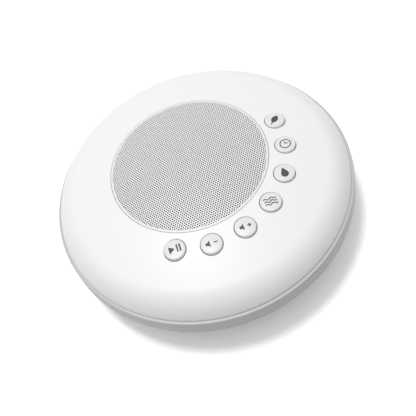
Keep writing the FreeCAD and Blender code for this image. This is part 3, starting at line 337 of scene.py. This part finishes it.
def belly_line(inset):
    """The outside of the bowl from the middle of the base up to the lip, moved in by an inset.

    Each corner moves by its own share of the inset, so that the wall keeps its thickness.
    """
    base_edge = (base_radius - inset * 0.3, base_floor + inset)
    band_foot = (band_radius - band_round - inset * 0.75, band_bottom + inset * 0.65)
    band_edge = (band_radius - inset, band_bottom + band_round + inset * 0.3)
    line = [(0.0, base_floor + inset)]
    line += arc_between(base_edge, band_foot, belly_radius, 28)
    line += arc_between(band_foot, band_edge, band_round * 1.05, 6)[1:]
    return line


lip_corner = (lip_radius, lip_height)
bowl_section = belly_line(0.0)
bowl_section += rounded(bowl_section[-1], lip_corner, (tongue_outer, lip_height), lip_round)
bowl_section += [
    (tongue_outer, lip_height),
    (tongue_outer, tongue_top),
    (tongue_inner, tongue_top),
    (tongue_inner, tongue_root),
]
bowl_section += list(reversed(belly_line(shell_wall)))
lower_moulding = turned("lower_moulding", bowl_section)

case_post_ring = 60.5
corner_angles = [math.radians(45 + 90 * index) for index in range(4)]
case_posts = [(case_post_ring * math.cos(angle), case_post_ring * math.sin(angle)) for angle in corner_angles]
post_radius, post_top = 3.3, 17.0
screw_floor = 15.0
head_room = 2.6
pilot_radius = 1.4
inside_belly = 0.4
inside_band = 0.8
bowl_top = post_top + 2.0
solid_section = belly_line(inside_belly) + [(band_radius - inside_band, bowl_top), (0.0, bowl_top)]
solid_bowl = turned("solid_bowl", solid_section)
post_section = [(0.0, base_floor), (post_radius, base_floor), (post_radius, post_top), (0.0, post_top)]
posts = joined("posts", on_posts("post", post_section, case_posts, 48))
combined(posts, solid_bowl, "INTERSECT")
combined(lower_moulding, posts, "UNION")
bore_section = [
    (0.0, base_floor - 1),
    (head_room, base_floor - 1),
    (head_room, screw_floor),
    (pilot_radius, screw_floor),
    (pilot_radius, post_top + 1),
    (0.0, post_top + 1),
]
foot_ring = 37.0
foot_radius = 5.0
foot_places = [(foot_ring * math.cos(angle), foot_ring * math.sin(angle)) for angle in corner_angles]
seat_radius = foot_radius + 0.2
seat_top = base_floor + 0.8
seat_section = [
    (0.0, base_floor - 1),
    (seat_radius, base_floor - 1),
    (seat_radius, seat_top),
    (0.0, seat_top),
]
bores = on_posts("screw_bore", bore_section, case_posts, 48)
bores += on_posts("foot_seat", seat_section, foot_places, 64)
combined(lower_moulding, joined("bores", bores), "DIFFERENCE")

inlet_low, inlet_high = (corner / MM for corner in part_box("power_inlet"))
inlet_clear = 0.3


def slot_outline(half_width, half_height, lift, steps=14):
    """A slot with round ends, as points in the X-Z plane."""
    points = []
    for side in (1, -1):
        for step in range(steps + 1):
            angle = math.radians(-90 + 180 * step / steps) + (0 if side > 0 else math.pi)
            x = side * (half_width - half_height) + half_height * math.cos(angle)
            points.append((x, lift + half_height * math.sin(angle)))
    return points


def loft_y(name, outlines):
    """Skins a row of outlines, each given with its own Y, and closes both ends."""
    shape = bmesh.new()
    rings = [[shape.verts.new((x * MM, y * MM, z * MM)) for x, z in outline] for y, outline in outlines]
    for one, other in zip(rings, rings[1:]):
        for step in range(len(one)):
            following = (step + 1) % len(one)
            shape.faces.new([one[step], one[following], other[following], other[step]])
    shape.faces.new(rings[0])
    shape.faces.new(rings[-1])
    bmesh.ops.recalc_face_normals(shape, faces=shape.faces)
    return as_object(name, shape)


inlet_middle = (inlet_low.z + inlet_high.z) / 2
window_wide = (inlet_high.x - inlet_low.x) / 2 + inlet_clear
window_high = (inlet_high.z - inlet_low.z) / 2 + inlet_clear
window_flare = 1.4
flare_depth = 1.1
window_start, flare_start, window_end = tongue_inner - 4.0, band_radius - flare_depth, band_radius + 0.6
straight = slot_outline(window_wide, window_high, inlet_middle)
flared = slot_outline(window_wide + window_flare, window_high + window_flare, inlet_middle)
window = loft_y("window", [(window_start, straight), (flare_start, straight), (window_end, flared)])
combined(lower_moulding, window, "DIFFERENCE")
smooth(lower_moulding, 25.0)
# Painted shade: this grey is partly the moulding's own pale grey and partly darkened to stand for the shade
# on the band.
grey_abs_and_painted_shade = finish("grey_abs_and_painted_shade", (0.54, 0.531, 0.543), 0.45, grain=0.12, grain_size=0.12)
settle(lower_moulding, grey_abs_and_painted_shade, "case", "grey_shell", "bottom_shell")


# Grille: a thin steel disc, punched with small round holes in staggered rows, pressed to the
# crown's curve and powder coated pale grey. A plain border runs round it. It drops into the recess.

hole_pitch = 1.1
hole_radius = 0.38
sheet_top = 0.1
sheet_thickness = 0.45
border_width = 0.65
hole_sides = 10
row_share = math.sqrt(3) / 2


def node_tree(name, sizes):
    """An empty geometry tree with a named input for each size."""
    tree = bpy.data.node_groups.new(name, "GeometryNodeTree")
    tree.interface.new_socket("Geometry", in_out="INPUT", socket_type="NodeSocketGeometry")
    for label, kind in sizes:
        tree.interface.new_socket(label, in_out="INPUT", socket_type=kind)
    tree.interface.new_socket("Geometry", in_out="OUTPUT", socket_type="NodeSocketGeometry")
    return tree, tree.nodes.new("NodeGroupInput"), tree.nodes.new("NodeGroupOutput")


def sum_of(tree, kind, *values):
    """A math node on values that are numbers or the sockets of other nodes."""
    node = tree.nodes.new("ShaderNodeMath")
    node.operation = kind
    for socket, value in zip(node.inputs, values):
        if isinstance(value, (int, float)):
            socket.default_value = value
        else:
            tree.links.new(value, socket)
    return node.outputs[0]


def grown(name, tree, values):
    """Runs a geometry tree on an empty mesh and keeps the result as a plain mesh."""
    item = bpy.data.objects.new(name, bpy.data.meshes.new(name))
    bpy.context.collection.objects.link(item)
    modifier = item.modifiers.new("grow", "NODES")
    modifier.node_group = tree
    for socket in tree.interface.items_tree:
        if socket.in_out == "INPUT" and socket.name in values:
            modifier[socket.identifier] = values[socket.name]
    evaluated = item.evaluated_get(bpy.context.evaluated_depsgraph_get())
    mesh = bpy.data.meshes.new_from_object(evaluated)
    item.modifiers.remove(modifier)
    item.data = mesh
    return item


grille_paint = finish("grille_paint", (0.85, 0.845, 0.855), 0.4, grain=0.1, grain_size=0.1)
LENGTH = "NodeSocketFloat"
tree, given, result = node_tree(
    "Punched sheet",
    [
        ("Pitch", LENGTH),
        ("Hole Radius", LENGTH),
        ("Field Radius", LENGTH),
        ("Thickness", LENGTH),
        ("Ball Radius", LENGTH),
        ("Ball Height", LENGTH),
        ("Shift X", LENGTH),
        ("Shift Y", LENGTH),
        ("Rows", "NodeSocketInt"),
        ("Finish", "NodeSocketMaterial"),
    ],
)
link = tree.links.new
row_height = sum_of(tree, "MULTIPLY", given.outputs["Pitch"], row_share)

# One cell of the sheet: a rectangle with a round hole, and the hole's wall.
cell = tree.nodes.new("GeometryNodeCurvePrimitiveQuadrilateral")
link(given.outputs["Pitch"], cell.inputs["Width"])
link(row_height, cell.inputs["Height"])
punch = tree.nodes.new("GeometryNodeCurvePrimitiveCircle")
punch.inputs["Resolution"].default_value = hole_sides
link(given.outputs["Hole Radius"], punch.inputs["Radius"])
outline = tree.nodes.new("GeometryNodeJoinGeometry")
link(cell.outputs["Curve"], outline.inputs[0])
link(punch.outputs["Curve"], outline.inputs[0])
face = tree.nodes.new("GeometryNodeFillCurve")
link(outline.outputs[0], face.inputs["Curve"])
rim = tree.nodes.new("GeometryNodeCurveToMesh")
link(punch.outputs["Curve"], rim.inputs["Curve"])
wall = tree.nodes.new("GeometryNodeExtrudeMesh")
wall.mode = "EDGES"
downward = tree.nodes.new("ShaderNodeCombineXYZ")
downward.inputs["Z"].default_value = -1.0
link(rim.outputs["Mesh"], wall.inputs["Mesh"])
link(downward.outputs[0], wall.inputs["Offset"])
link(given.outputs["Thickness"], wall.inputs["Offset Scale"])
whole_cell = tree.nodes.new("GeometryNodeJoinGeometry")
link(face.outputs["Mesh"], whole_cell.inputs[0])
link(wall.outputs["Mesh"], whole_cell.inputs[0])

# The cells stand in staggered rows inside the field's circle.
grid = tree.nodes.new("GeometryNodeMeshGrid")
steps_less_one = sum_of(tree, "SUBTRACT", given.outputs["Rows"], 1.0)
link(sum_of(tree, "MULTIPLY", given.outputs["Pitch"], steps_less_one), grid.inputs["Size X"])
link(sum_of(tree, "MULTIPLY", row_height, steps_less_one), grid.inputs["Size Y"])
link(given.outputs["Rows"], grid.inputs["Vertices X"])
link(given.outputs["Rows"], grid.inputs["Vertices Y"])
number = tree.nodes.new("GeometryNodeInputIndex")
in_column = sum_of(tree, "MODULO", number.outputs[0], given.outputs["Rows"])
odd = sum_of(tree, "MODULO", in_column, 2.0)
aside = tree.nodes.new("ShaderNodeCombineXYZ")
half_pitch = sum_of(tree, "MULTIPLY", given.outputs["Pitch"], 0.5)
link(sum_of(tree, "MULTIPLY", odd, half_pitch), aside.inputs["X"])
stagger = tree.nodes.new("GeometryNodeSetPosition")
link(grid.outputs["Mesh"], stagger.inputs["Geometry"])
link(aside.outputs[0], stagger.inputs["Offset"])
spot = tree.nodes.new("GeometryNodeInputPosition")
reach = tree.nodes.new("ShaderNodeVectorMath")
reach.operation = "LENGTH"
link(spot.outputs[0], reach.inputs[0])
outside = sum_of(tree, "GREATER_THAN", reach.outputs["Value"], given.outputs["Field Radius"])
kept = tree.nodes.new("GeometryNodeDeleteGeometry")
kept.domain = "POINT"
link(stagger.outputs["Geometry"], kept.inputs["Geometry"])
link(outside, kept.inputs["Selection"])
copies = tree.nodes.new("GeometryNodeInstanceOnPoints")
link(kept.outputs["Geometry"], copies.inputs["Points"])
link(whole_cell.outputs[0], copies.inputs["Instance"])
real = tree.nodes.new("GeometryNodeRealizeInstances")
link(copies.outputs["Instances"], real.inputs["Geometry"])

# The flat sheet is moved to the grille's axis and pressed to the crown.
move = tree.nodes.new("ShaderNodeCombineXYZ")
link(given.outputs["Shift X"], move.inputs["X"])
link(given.outputs["Shift Y"], move.inputs["Y"])
moved = tree.nodes.new("GeometryNodeSetPosition")
link(real.outputs["Geometry"], moved.inputs["Geometry"])
link(move.outputs[0], moved.inputs["Offset"])
where = tree.nodes.new("GeometryNodeInputPosition")
parts = tree.nodes.new("ShaderNodeSeparateXYZ")
link(where.outputs[0], parts.inputs[0])
x_square = sum_of(tree, "MULTIPLY", parts.outputs["X"], parts.outputs["X"])
y_square = sum_of(tree, "MULTIPLY", parts.outputs["Y"], parts.outputs["Y"])
ball_square = sum_of(tree, "MULTIPLY", given.outputs["Ball Radius"], given.outputs["Ball Radius"])
rest = sum_of(tree, "SUBTRACT", ball_square, sum_of(tree, "ADD", x_square, y_square))
lift = sum_of(tree, "ADD", sum_of(tree, "SQRT", rest), given.outputs["Ball Height"])
upward = tree.nodes.new("ShaderNodeCombineXYZ")
link(lift, upward.inputs["Z"])
pressed = tree.nodes.new("GeometryNodeSetPosition")
link(moved.outputs["Geometry"], pressed.inputs["Geometry"])
link(upward.outputs[0], pressed.inputs["Offset"])
coated = tree.nodes.new("GeometryNodeSetMaterial")
link(pressed.outputs["Geometry"], coated.inputs["Geometry"])
link(given.outputs["Finish"], coated.inputs["Material"])
link(coated.outputs["Geometry"], result.inputs[0])

field_radius = grille_radius - border_width
punched = grown(
    "punched_sheet",
    tree,
    {
        "Pitch": hole_pitch * MM,
        "Hole Radius": hole_radius * MM,
        "Field Radius": field_radius * MM,
        "Thickness": sheet_thickness * MM,
        "Ball Radius": (crown_radius - sheet_top) * MM,
        "Ball Height": crown_centre * MM,
        "Shift X": sound_axis[0] * MM,
        "Shift Y": sound_axis[1] * MM,
        "Rows": 2 * math.ceil(grille_radius / (hole_pitch * row_share)) + 1,
        "Finish": grille_paint,
    },
)
settle(punched, grille_paint, "case", "grille_paint", "speaker_grille")

border_step = 0.03
border_lap = 0.35
border_inner = field_radius - border_lap
border_section = [
    (border_inner, 0.0),
    (border_inner + 0.05, border_step),
    (grille_radius - 0.25, border_step),
    (grille_radius - 0.08, -0.05),
    (grille_radius, -0.25),
    (grille_radius, -sheet_thickness),
    (border_inner, -sheet_thickness),
]
grille_border = turned("grille_border", border_section, sound_axis)
for vertex in grille_border.data.vertices:
    vertex.co.z += crown_height(vertex.co.x / MM, vertex.co.y / MM, sheet_top) * MM
smooth(grille_border)
settle(grille_border, grille_paint, "case", "grille_paint")


# Grille cloth: thin woven dark polyester, stretched over the sound holes behind the sheet. It keeps
# the shape that CAD gives it.

thread_width = 0.18
weave = bpy.data.materials.new("grille_weave")
weave.use_nodes = True
weave_shader = weave.node_tree.nodes["Principled BSDF"]
weave_shader.inputs["Roughness"].default_value = 0.9
weave_place = weave.node_tree.nodes.new("ShaderNodeTexCoord")
checks = weave.node_tree.nodes.new("ShaderNodeTexChecker")
checks.inputs["Scale"].default_value = 1.0 / (thread_width * MM)
checks.inputs["Color1"].default_value = (0.02, 0.02, 0.021, 1.0)
checks.inputs["Color2"].default_value = (0.05, 0.05, 0.053, 1.0)
weave.node_tree.links.new(weave_place.outputs["Object"], checks.inputs["Vector"])
weave.node_tree.links.new(checks.outputs["Color"], weave_shader.inputs["Base Color"])


def repaint(material, *nodes):
    """A better finish on CAD nodes that keep their own shape."""
    for node in nodes:
        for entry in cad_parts[node].material_slots:
            entry.material = material


repaint(weave, "grille_cloth")


# Keys: seven round caps of pale grey ABS on an arc round the grille. Each has a faintly crowned
# face with a bright turned-down edge, and a flange under the moulding that keeps it in.

key_bottom, key_top = (corner.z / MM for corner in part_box("play_key"))
key_crown = 0.25
key_edge = 0.55
flange_radius = 5.9
flange_top = 30.6
flange_bottom = 29.6
stem_radius = 1.5
face_radius = key_radius - key_edge
key_plastic = finish("key_plastic", (0.76, 0.76, 0.765), 0.38, grain=0.1, grain_size=0.12)


def key_height(radius):
    """Height of a key's face at a radius from its middle."""
    return key_top - key_crown * (radius / face_radius) ** 2


face_steps = 10
key_section = [
    (face_radius * step / face_steps, key_height(face_radius * step / face_steps))
    for step in range(face_steps)
]
key_section += arc((face_radius, key_top - key_crown - key_edge), key_edge, 0.0, 90.0, 8)
key_section += [
    (key_radius, flange_top),
    (flange_radius, flange_top),
    (flange_radius, flange_bottom),
    (stem_radius, flange_bottom),
    (stem_radius, key_bottom),
    (0.0, key_bottom),
]
for key in key_names:
    cap = smooth(turned(f"{key}_cap", key_section, key_centres[key], 96), 40.0)
    settle(cap, key_plastic, f"pressed_{key}", "key_plastic", key)


# Signs on the keys: pad printed in dark grey ink, one for each key. They are plain signs for play,
# volume, waves, rain, a timer and a leaf, and all stand upright for a person in front.

print_height = 0.012
sign_ink = finish("sign_ink", (0.055, 0.055, 0.057), 0.5)
sign_scale = 1.6
longest_edge = 0.5


def bar(x, y, width, height):
    left, right, low, high = x - width / 2, x + width / 2, y - height / 2, y + height / 2
    return [(left, low), (right, low), (right, high), (left, high)]


def stroke(points, width):
    """Four-sided patches along a line, as wide as the stroke."""
    sides = []
    for index, point in enumerate(points):
        before = Vector(points[max(index - 1, 0)])
        after = Vector(points[min(index + 1, len(points) - 1)])
        way = (after - before).normalized()
        across = Vector((-way.y, way.x)) * width / 2
        sides.append((Vector(point) + across, Vector(point) - across))
    return [[tuple(a), tuple(b), tuple(d), tuple(c)] for (a, b), (c, d) in zip(sides, sides[1:])]


def bow(x, y, radius, first, last, width, steps=24):
    """A stroke along part of a circle, with angles in degrees."""
    angles = [math.radians(first + (last - first) * step / steps) for step in range(steps + 1)]
    return stroke([(x + radius * math.cos(angle), y + radius * math.sin(angle)) for angle in angles], width)


def loudspeaker_sign(x):
    """A loudspeaker seen from its side, opening to the right."""
    return [
        bar(x - 0.75, 0.0, 0.5, 0.8),
        [(x - 0.5, -0.4), (x + 0.15, -0.95), (x + 0.15, 0.95), (x - 0.5, 0.4)],
    ]


def wave_line(y):
    """A stroke with two full waves."""
    points = [(-1.7 + 3.4 * step / 32, y + 0.26 * math.sin(4 * math.pi * step / 32)) for step in range(33)]
    return stroke(points, 0.3)


drop_sides = [(0.0, 1.7)]
for step in range(25):
    angle = math.radians(28 - (180 + 56) * step / 24)
    drop_sides.append((1.05 * math.cos(angle), -0.5 + 1.05 * math.sin(angle)))
leaf_side = []
for step in range(17):
    share = step / 16
    leaf_side.append((-1.5 + 3.0 * share, 0.95 * math.sin(math.pi * share) ** 0.8))
leaf_outline = leaf_side + [(x, -y) for x, y in reversed(leaf_side[1:-1])]
leaf_turn = math.radians(40)
leaf_shape = [
    (x * math.cos(leaf_turn) - y * math.sin(leaf_turn), x * math.sin(leaf_turn) + y * math.cos(leaf_turn))
    for x, y in leaf_outline
]
signs = {
    "play_key": [
        [(-1.5, -1.1), (0.1, 0.0), (-1.5, 1.1)],
        bar(0.75, 0.0, 0.42, 2.2),
        bar(1.5, 0.0, 0.42, 2.2),
    ],
    "volume_down_key": loudspeaker_sign(-0.5) + [bar(1.15, 0.0, 1.1, 0.32)],
    "volume_up_key": loudspeaker_sign(-0.5)
    + [bar(1.15, 0.0, 1.1, 0.32), bar(1.15, 0.36, 0.32, 0.4), bar(1.15, -0.36, 0.32, 0.4)],
    "wave_key": wave_line(0.85) + wave_line(0.0) + wave_line(-0.85),
    "rain_key": [drop_sides],
    "timer_key": bow(0.0, 0.0, 1.45, 0, 360, 0.3, 40)
    + [bar(0.0, 0.42, 0.28, 0.9), bar(0.36, 0.0, 0.72, 0.26)],
    "leaf_key": [leaf_shape] + stroke([(-1.1, -0.95), (-1.7, -1.45)], 0.28),
}
for key, shapes in signs.items():
    centre_x, centre_y = key_centres[key]
    print_mesh = bmesh.new()
    for outline in shapes:
        print_mesh.faces.new(
            [print_mesh.verts.new((x * sign_scale, y * sign_scale, 0.0)) for x, y in outline]
        )
    bmesh.ops.triangulate(print_mesh, faces=print_mesh.faces)
    for _ in range(3):
        long_edges = [edge for edge in print_mesh.edges if edge.calc_length() > longest_edge]
        bmesh.ops.subdivide_edges(print_mesh, edges=long_edges, cuts=1)
        bmesh.ops.triangulate(print_mesh, faces=print_mesh.faces)
    for vertex in print_mesh.verts:
        x, y = vertex.co.x, vertex.co.y
        height = key_height(math.hypot(x, y)) + print_height
        vertex.co = Vector((centre_x + x, centre_y + y, height)) * MM
    print_mesh.normal_update()
    for face in print_mesh.faces:
        if face.normal.z < 0:
            face.normal_flip()
    settle(as_object(f"{key}_sign", print_mesh), sign_ink, f"pressed_{key}", "key_plastic")


# Key switches and both circuit boards: black tactile switches with round plungers, on fibreglass
# boards under green lacquer, with the parts that are soldered to them.

lacquer = finish("green_lacquer", (0.02, 0.15, 0.06), 0.25, tone=0.35, tone_size=3.0)
black_moulding = finish("black_moulding", (0.025, 0.025, 0.027), 0.4, grain=0.1)
can_metal = finish("can_metal", (0.72, 0.72, 0.74), 0.28, metal=1.0)
zinc = finish("zinc_plate", (0.66, 0.65, 0.62), 0.32, metal=1.0, grain=0.08, grain_size=0.3)
socket_nylon = finish("socket_nylon", (0.80, 0.78, 0.70), 0.45)
plungers = [f"switch_plunger_{number}" for number in range(1, 8)]
repaint(lacquer, "key_board", "main_board")
repaint(black_moulding, "key_switches", "main_chips", "inlet_tongue", *plungers)
repaint(socket_nylon, "lead_sockets", "speaker_plug", "battery_plug")
repaint(can_metal, "board_capacitors")
repaint(finish("cable_film", (0.74, 0.74, 0.73), 0.35), "flat_cable")


# Loudspeaker: a pressed steel frame, a ferrite magnet between plated steel plates, a pulp cone on
# a rolled rubber surround, and a woven spider round the voice coil. Four screws hold it up.

cone_pulp = finish("cone_pulp", (0.035, 0.035, 0.037), 0.8, grain=0.5, grain_size=0.6)
rubber = finish("rubber", (0.035, 0.035, 0.036), 0.7, grain=0.2, grain_size=0.3)
repaint(finish("gasket_foam", (0.05, 0.05, 0.05), 0.95, grain=0.6, grain_size=0.5), "speaker_gasket")
repaint(finish("black_steel", (0.04, 0.04, 0.042), 0.35), "speaker_frame")
repaint(finish("ferrite", (0.05, 0.05, 0.055), 0.65, tone=0.3, tone_size=1.0), "speaker_magnet")
repaint(finish("coil_winding", (0.60, 0.34, 0.16), 0.35), "voice_coil")
repaint(finish("spider_cloth", (0.55, 0.38, 0.16), 0.85, grain=0.5, grain_size=0.4), "speaker_spider")
repaint(cone_pulp, "speaker_cone", "speaker_dust_cap")
repaint(rubber, "speaker_surround")
repaint(finish("terminal_card", (0.30, 0.17, 0.08), 0.6), "speaker_terminal")
repaint(zinc, "speaker_top_plate", "speaker_yoke")


# Power inlet: a drawn steel shell with a round-ended mouth, soldered to the main board.

repaint(can_metal, "power_inlet")


# Battery and leads: a flat cell in blue shrink wrap on a foam pad, and thin stranded leads in a
# red jacket to the main board's sockets.

repaint(finish("cell_wrap", (0.08, 0.18, 0.40), 0.3), "battery_cell")
repaint(finish("pad_foam", (0.06, 0.06, 0.06), 0.95, grain=0.6, grain_size=0.6), "battery_pad")
repaint(finish("lead_jacket", (0.42, 0.025, 0.025), 0.4), "speaker_leads", "battery_leads")


# Screws: zinc plated pan heads with a cross recess. The four case screws stand in their sunk holes
# in the belly, and the others hold the boards and the loudspeaker.

repaint(zinc, "speaker_screws", "key_board_screws", "main_board_screws")
head_radius = 2.4
head_height = 1.3
head_bottom = screw_floor - head_height
shank_radius = 1.05
shank_length = 9.0
slot_width = 0.42
slot_reach = 2.3
slot_taper = 0.45
slot_block = 1.8
screw_section = [
    (0.0, head_bottom),
    (head_radius * 0.6, head_bottom + 0.05),
    (head_radius * 0.9, head_bottom + 0.35),
    (head_radius, head_bottom + 0.8),
    (head_radius, screw_floor),
    (shank_radius, screw_floor),
    (shank_radius, screw_floor + shank_length),
    (0.0, screw_floor + shank_length + 0.7),
]
case_screw_set = joined("case_screw_set", on_posts("case_screw", screw_section, case_posts, 48))
for along_y in (True, False):
    arms = []
    for place in case_posts:
        arm = bmesh.new()
        bmesh.ops.create_cube(arm, size=1.0)
        for vertex in arm.verts:
            spread = slot_reach * (1.0 if vertex.co.z < 0 else slot_taper)
            wide, deep = (slot_width, spread) if along_y else (spread, slot_width)
            x = place[0] + vertex.co.x * wide
            y = place[1] + vertex.co.y * deep
            vertex.co = Vector((x, y, head_bottom + vertex.co.z * slot_block)) * MM
        arms.append(as_object("arm", arm))
    combined(case_screw_set, joined("recess_arms", arms), "DIFFERENCE")
smooth(case_screw_set)
settle(case_screw_set, zinc, "case", "plated_steel", "case_screws")


# Feet: four soft rubber discs glued into shallow seats in the base. Their lower edge is rounded.

foot_round = 0.6
foot_flat = foot_radius - foot_round
foot_section = [(0.0, 0.0), (foot_flat, 0.0)]
foot_section += arc((foot_flat, foot_round), foot_round, 180.0, 90.0, 6)[1:]
foot_section += [(foot_radius, seat_top), (0.0, seat_top)]
for number, foot in enumerate(on_posts("foot", foot_section, foot_places, 64), 1):
    settle(smooth(foot), rubber, "case", "black_rubber", f"rubber_foot_{number}")


# Table: an endless plain white surface that takes the machine's soft shadow. It is brighter to the
# eye than to the light that it sends back on the machine.


def seen_by(nodes, links, *kinds):
    """A socket that is one for rays of the named kinds and zero for all others."""
    path = nodes.new("ShaderNodeLightPath")
    seen = path.outputs[kinds[0]]
    for kind in kinds[1:]:
        either = nodes.new("ShaderNodeMath")
        either.operation = "MAXIMUM"
        links.new(seen, either.inputs[0])
        links.new(path.outputs[kind], either.inputs[1])
        seen = either.outputs[0]
    return seen


table_reach = 6.0
corners = [(-table_reach, -table_reach, 0), (table_reach, -table_reach, 0)]
corners += [(table_reach, table_reach, 0), (-table_reach, table_reach, 0)]
table_mesh = bpy.data.meshes.new("table")
table_mesh.from_pydata(corners, [], [(0, 1, 2, 3)])
table = bpy.data.objects.new("table", table_mesh)
bpy.context.collection.objects.link(table)
table_top = bpy.data.materials.new("table_top")
table_top.use_nodes = True
nodes, links = table_top.node_tree.nodes, table_top.node_tree.links
nodes.clear()
seen = seen_by(nodes, links, "Is Camera Ray", "Is Glossy Ray", "Is Transmission Ray")
shade = nodes.new("ShaderNodeMix")
shade.data_type = "RGBA"
shade.inputs[6].default_value = (0.5, 0.5, 0.5, 1.0)
shade.inputs[7].default_value = (1.3, 1.3, 1.3, 1.0)
matte = nodes.new("ShaderNodeBsdfDiffuse")
output = nodes.new("ShaderNodeOutputMaterial")
links.new(seen, shade.inputs[0])
links.new(shade.outputs[2], matte.inputs["Color"])
links.new(matte.outputs[0], output.inputs["Surface"])
table_mesh.materials.append(table_top)


# Light: a soft round light high over the machine, a little behind it and to its left, in a white
# room that is bright overhead and dimmer towards the horizon.

room = bpy.data.worlds.new("room")
bpy.context.scene.world = room
room.use_nodes = True
nodes, links = room.node_tree.nodes, room.node_tree.links
background = nodes["Background"]
background.inputs["Color"].default_value = (1.0, 1.0, 1.0, 1.0)
seen = seen_by(nodes, links, "Is Camera Ray", "Is Transmission Ray")
level_horizon = 0.34
level_overhead = 0.82
overhead = Vector((-0.1, 0.2, 0.95)).normalized()
direction = nodes.new("ShaderNodeTexCoord")
toward = nodes.new("ShaderNodeVectorMath")
toward.operation = "DOT_PRODUCT"
toward.inputs[1].default_value = overhead
links.new(direction.outputs["Generated"], toward.inputs[0])
room_level = nodes.new("ShaderNodeMapRange")
room_level.inputs["From Min"].default_value = 0.0
room_level.inputs["To Min"].default_value = level_horizon
room_level.inputs["To Max"].default_value = level_overhead
links.new(toward.outputs["Value"], room_level.inputs["Value"])
level = nodes.new("ShaderNodeMapRange")
level.inputs["To Max"].default_value = 1.0
links.new(seen, level.inputs["Value"])
links.new(room_level.outputs["Result"], level.inputs["To Min"])
links.new(level.outputs["Result"], background.inputs["Strength"])

lamp = bpy.data.lights.new("window_light", "AREA")
lamp.shape = "DISK"
lamp.size = 0.24
lamp.energy = 4.0
lamp_place = Vector((-0.12, 0.22, 0.97))
lamp_aim = Vector((0.0, 0.0, 0.02))
window_light = bpy.data.objects.new("window_light", lamp)
window_light.location = lamp_place
window_light.rotation_euler = (lamp_aim - lamp_place).to_track_quat("-Z", "Y").to_euler()
bpy.context.collection.objects.link(window_light)


# Camera: the photograph's own viewpoint, found from the rim, the grille and the ring of keys.

camera_data = bpy.data.cameras.new("camera")
camera_data.lens = 37.9
camera_data.sensor_width = 36.0
camera_data.clip_start = 0.01
camera = bpy.data.objects.new("camera", camera_data)
bpy.context.collection.objects.link(camera)
tilt = math.radians(32.6)
roll = math.radians(-21.0)
forward = Vector((0.0, math.sin(tilt), -math.cos(tilt)))
level_right = Vector((1.0, 0.0, 0.0))
level_up = level_right.cross(forward)
right = level_right * math.cos(roll) + level_up * math.sin(roll)
up = right.cross(forward)
turn = Matrix((right, up, -forward)).transposed().to_4x4()
camera_offset = Vector((-0.0164, -1.8053, 2.4065)) * shell_radius
camera_place = (camera_offset + Vector((0.0, 0.0, crease_height))) * MM
camera.matrix_world = Matrix.Translation(camera_place) @ turn
bpy.context.scene.camera = camera
bpy.context.scene.view_settings.view_transform = "Standard"
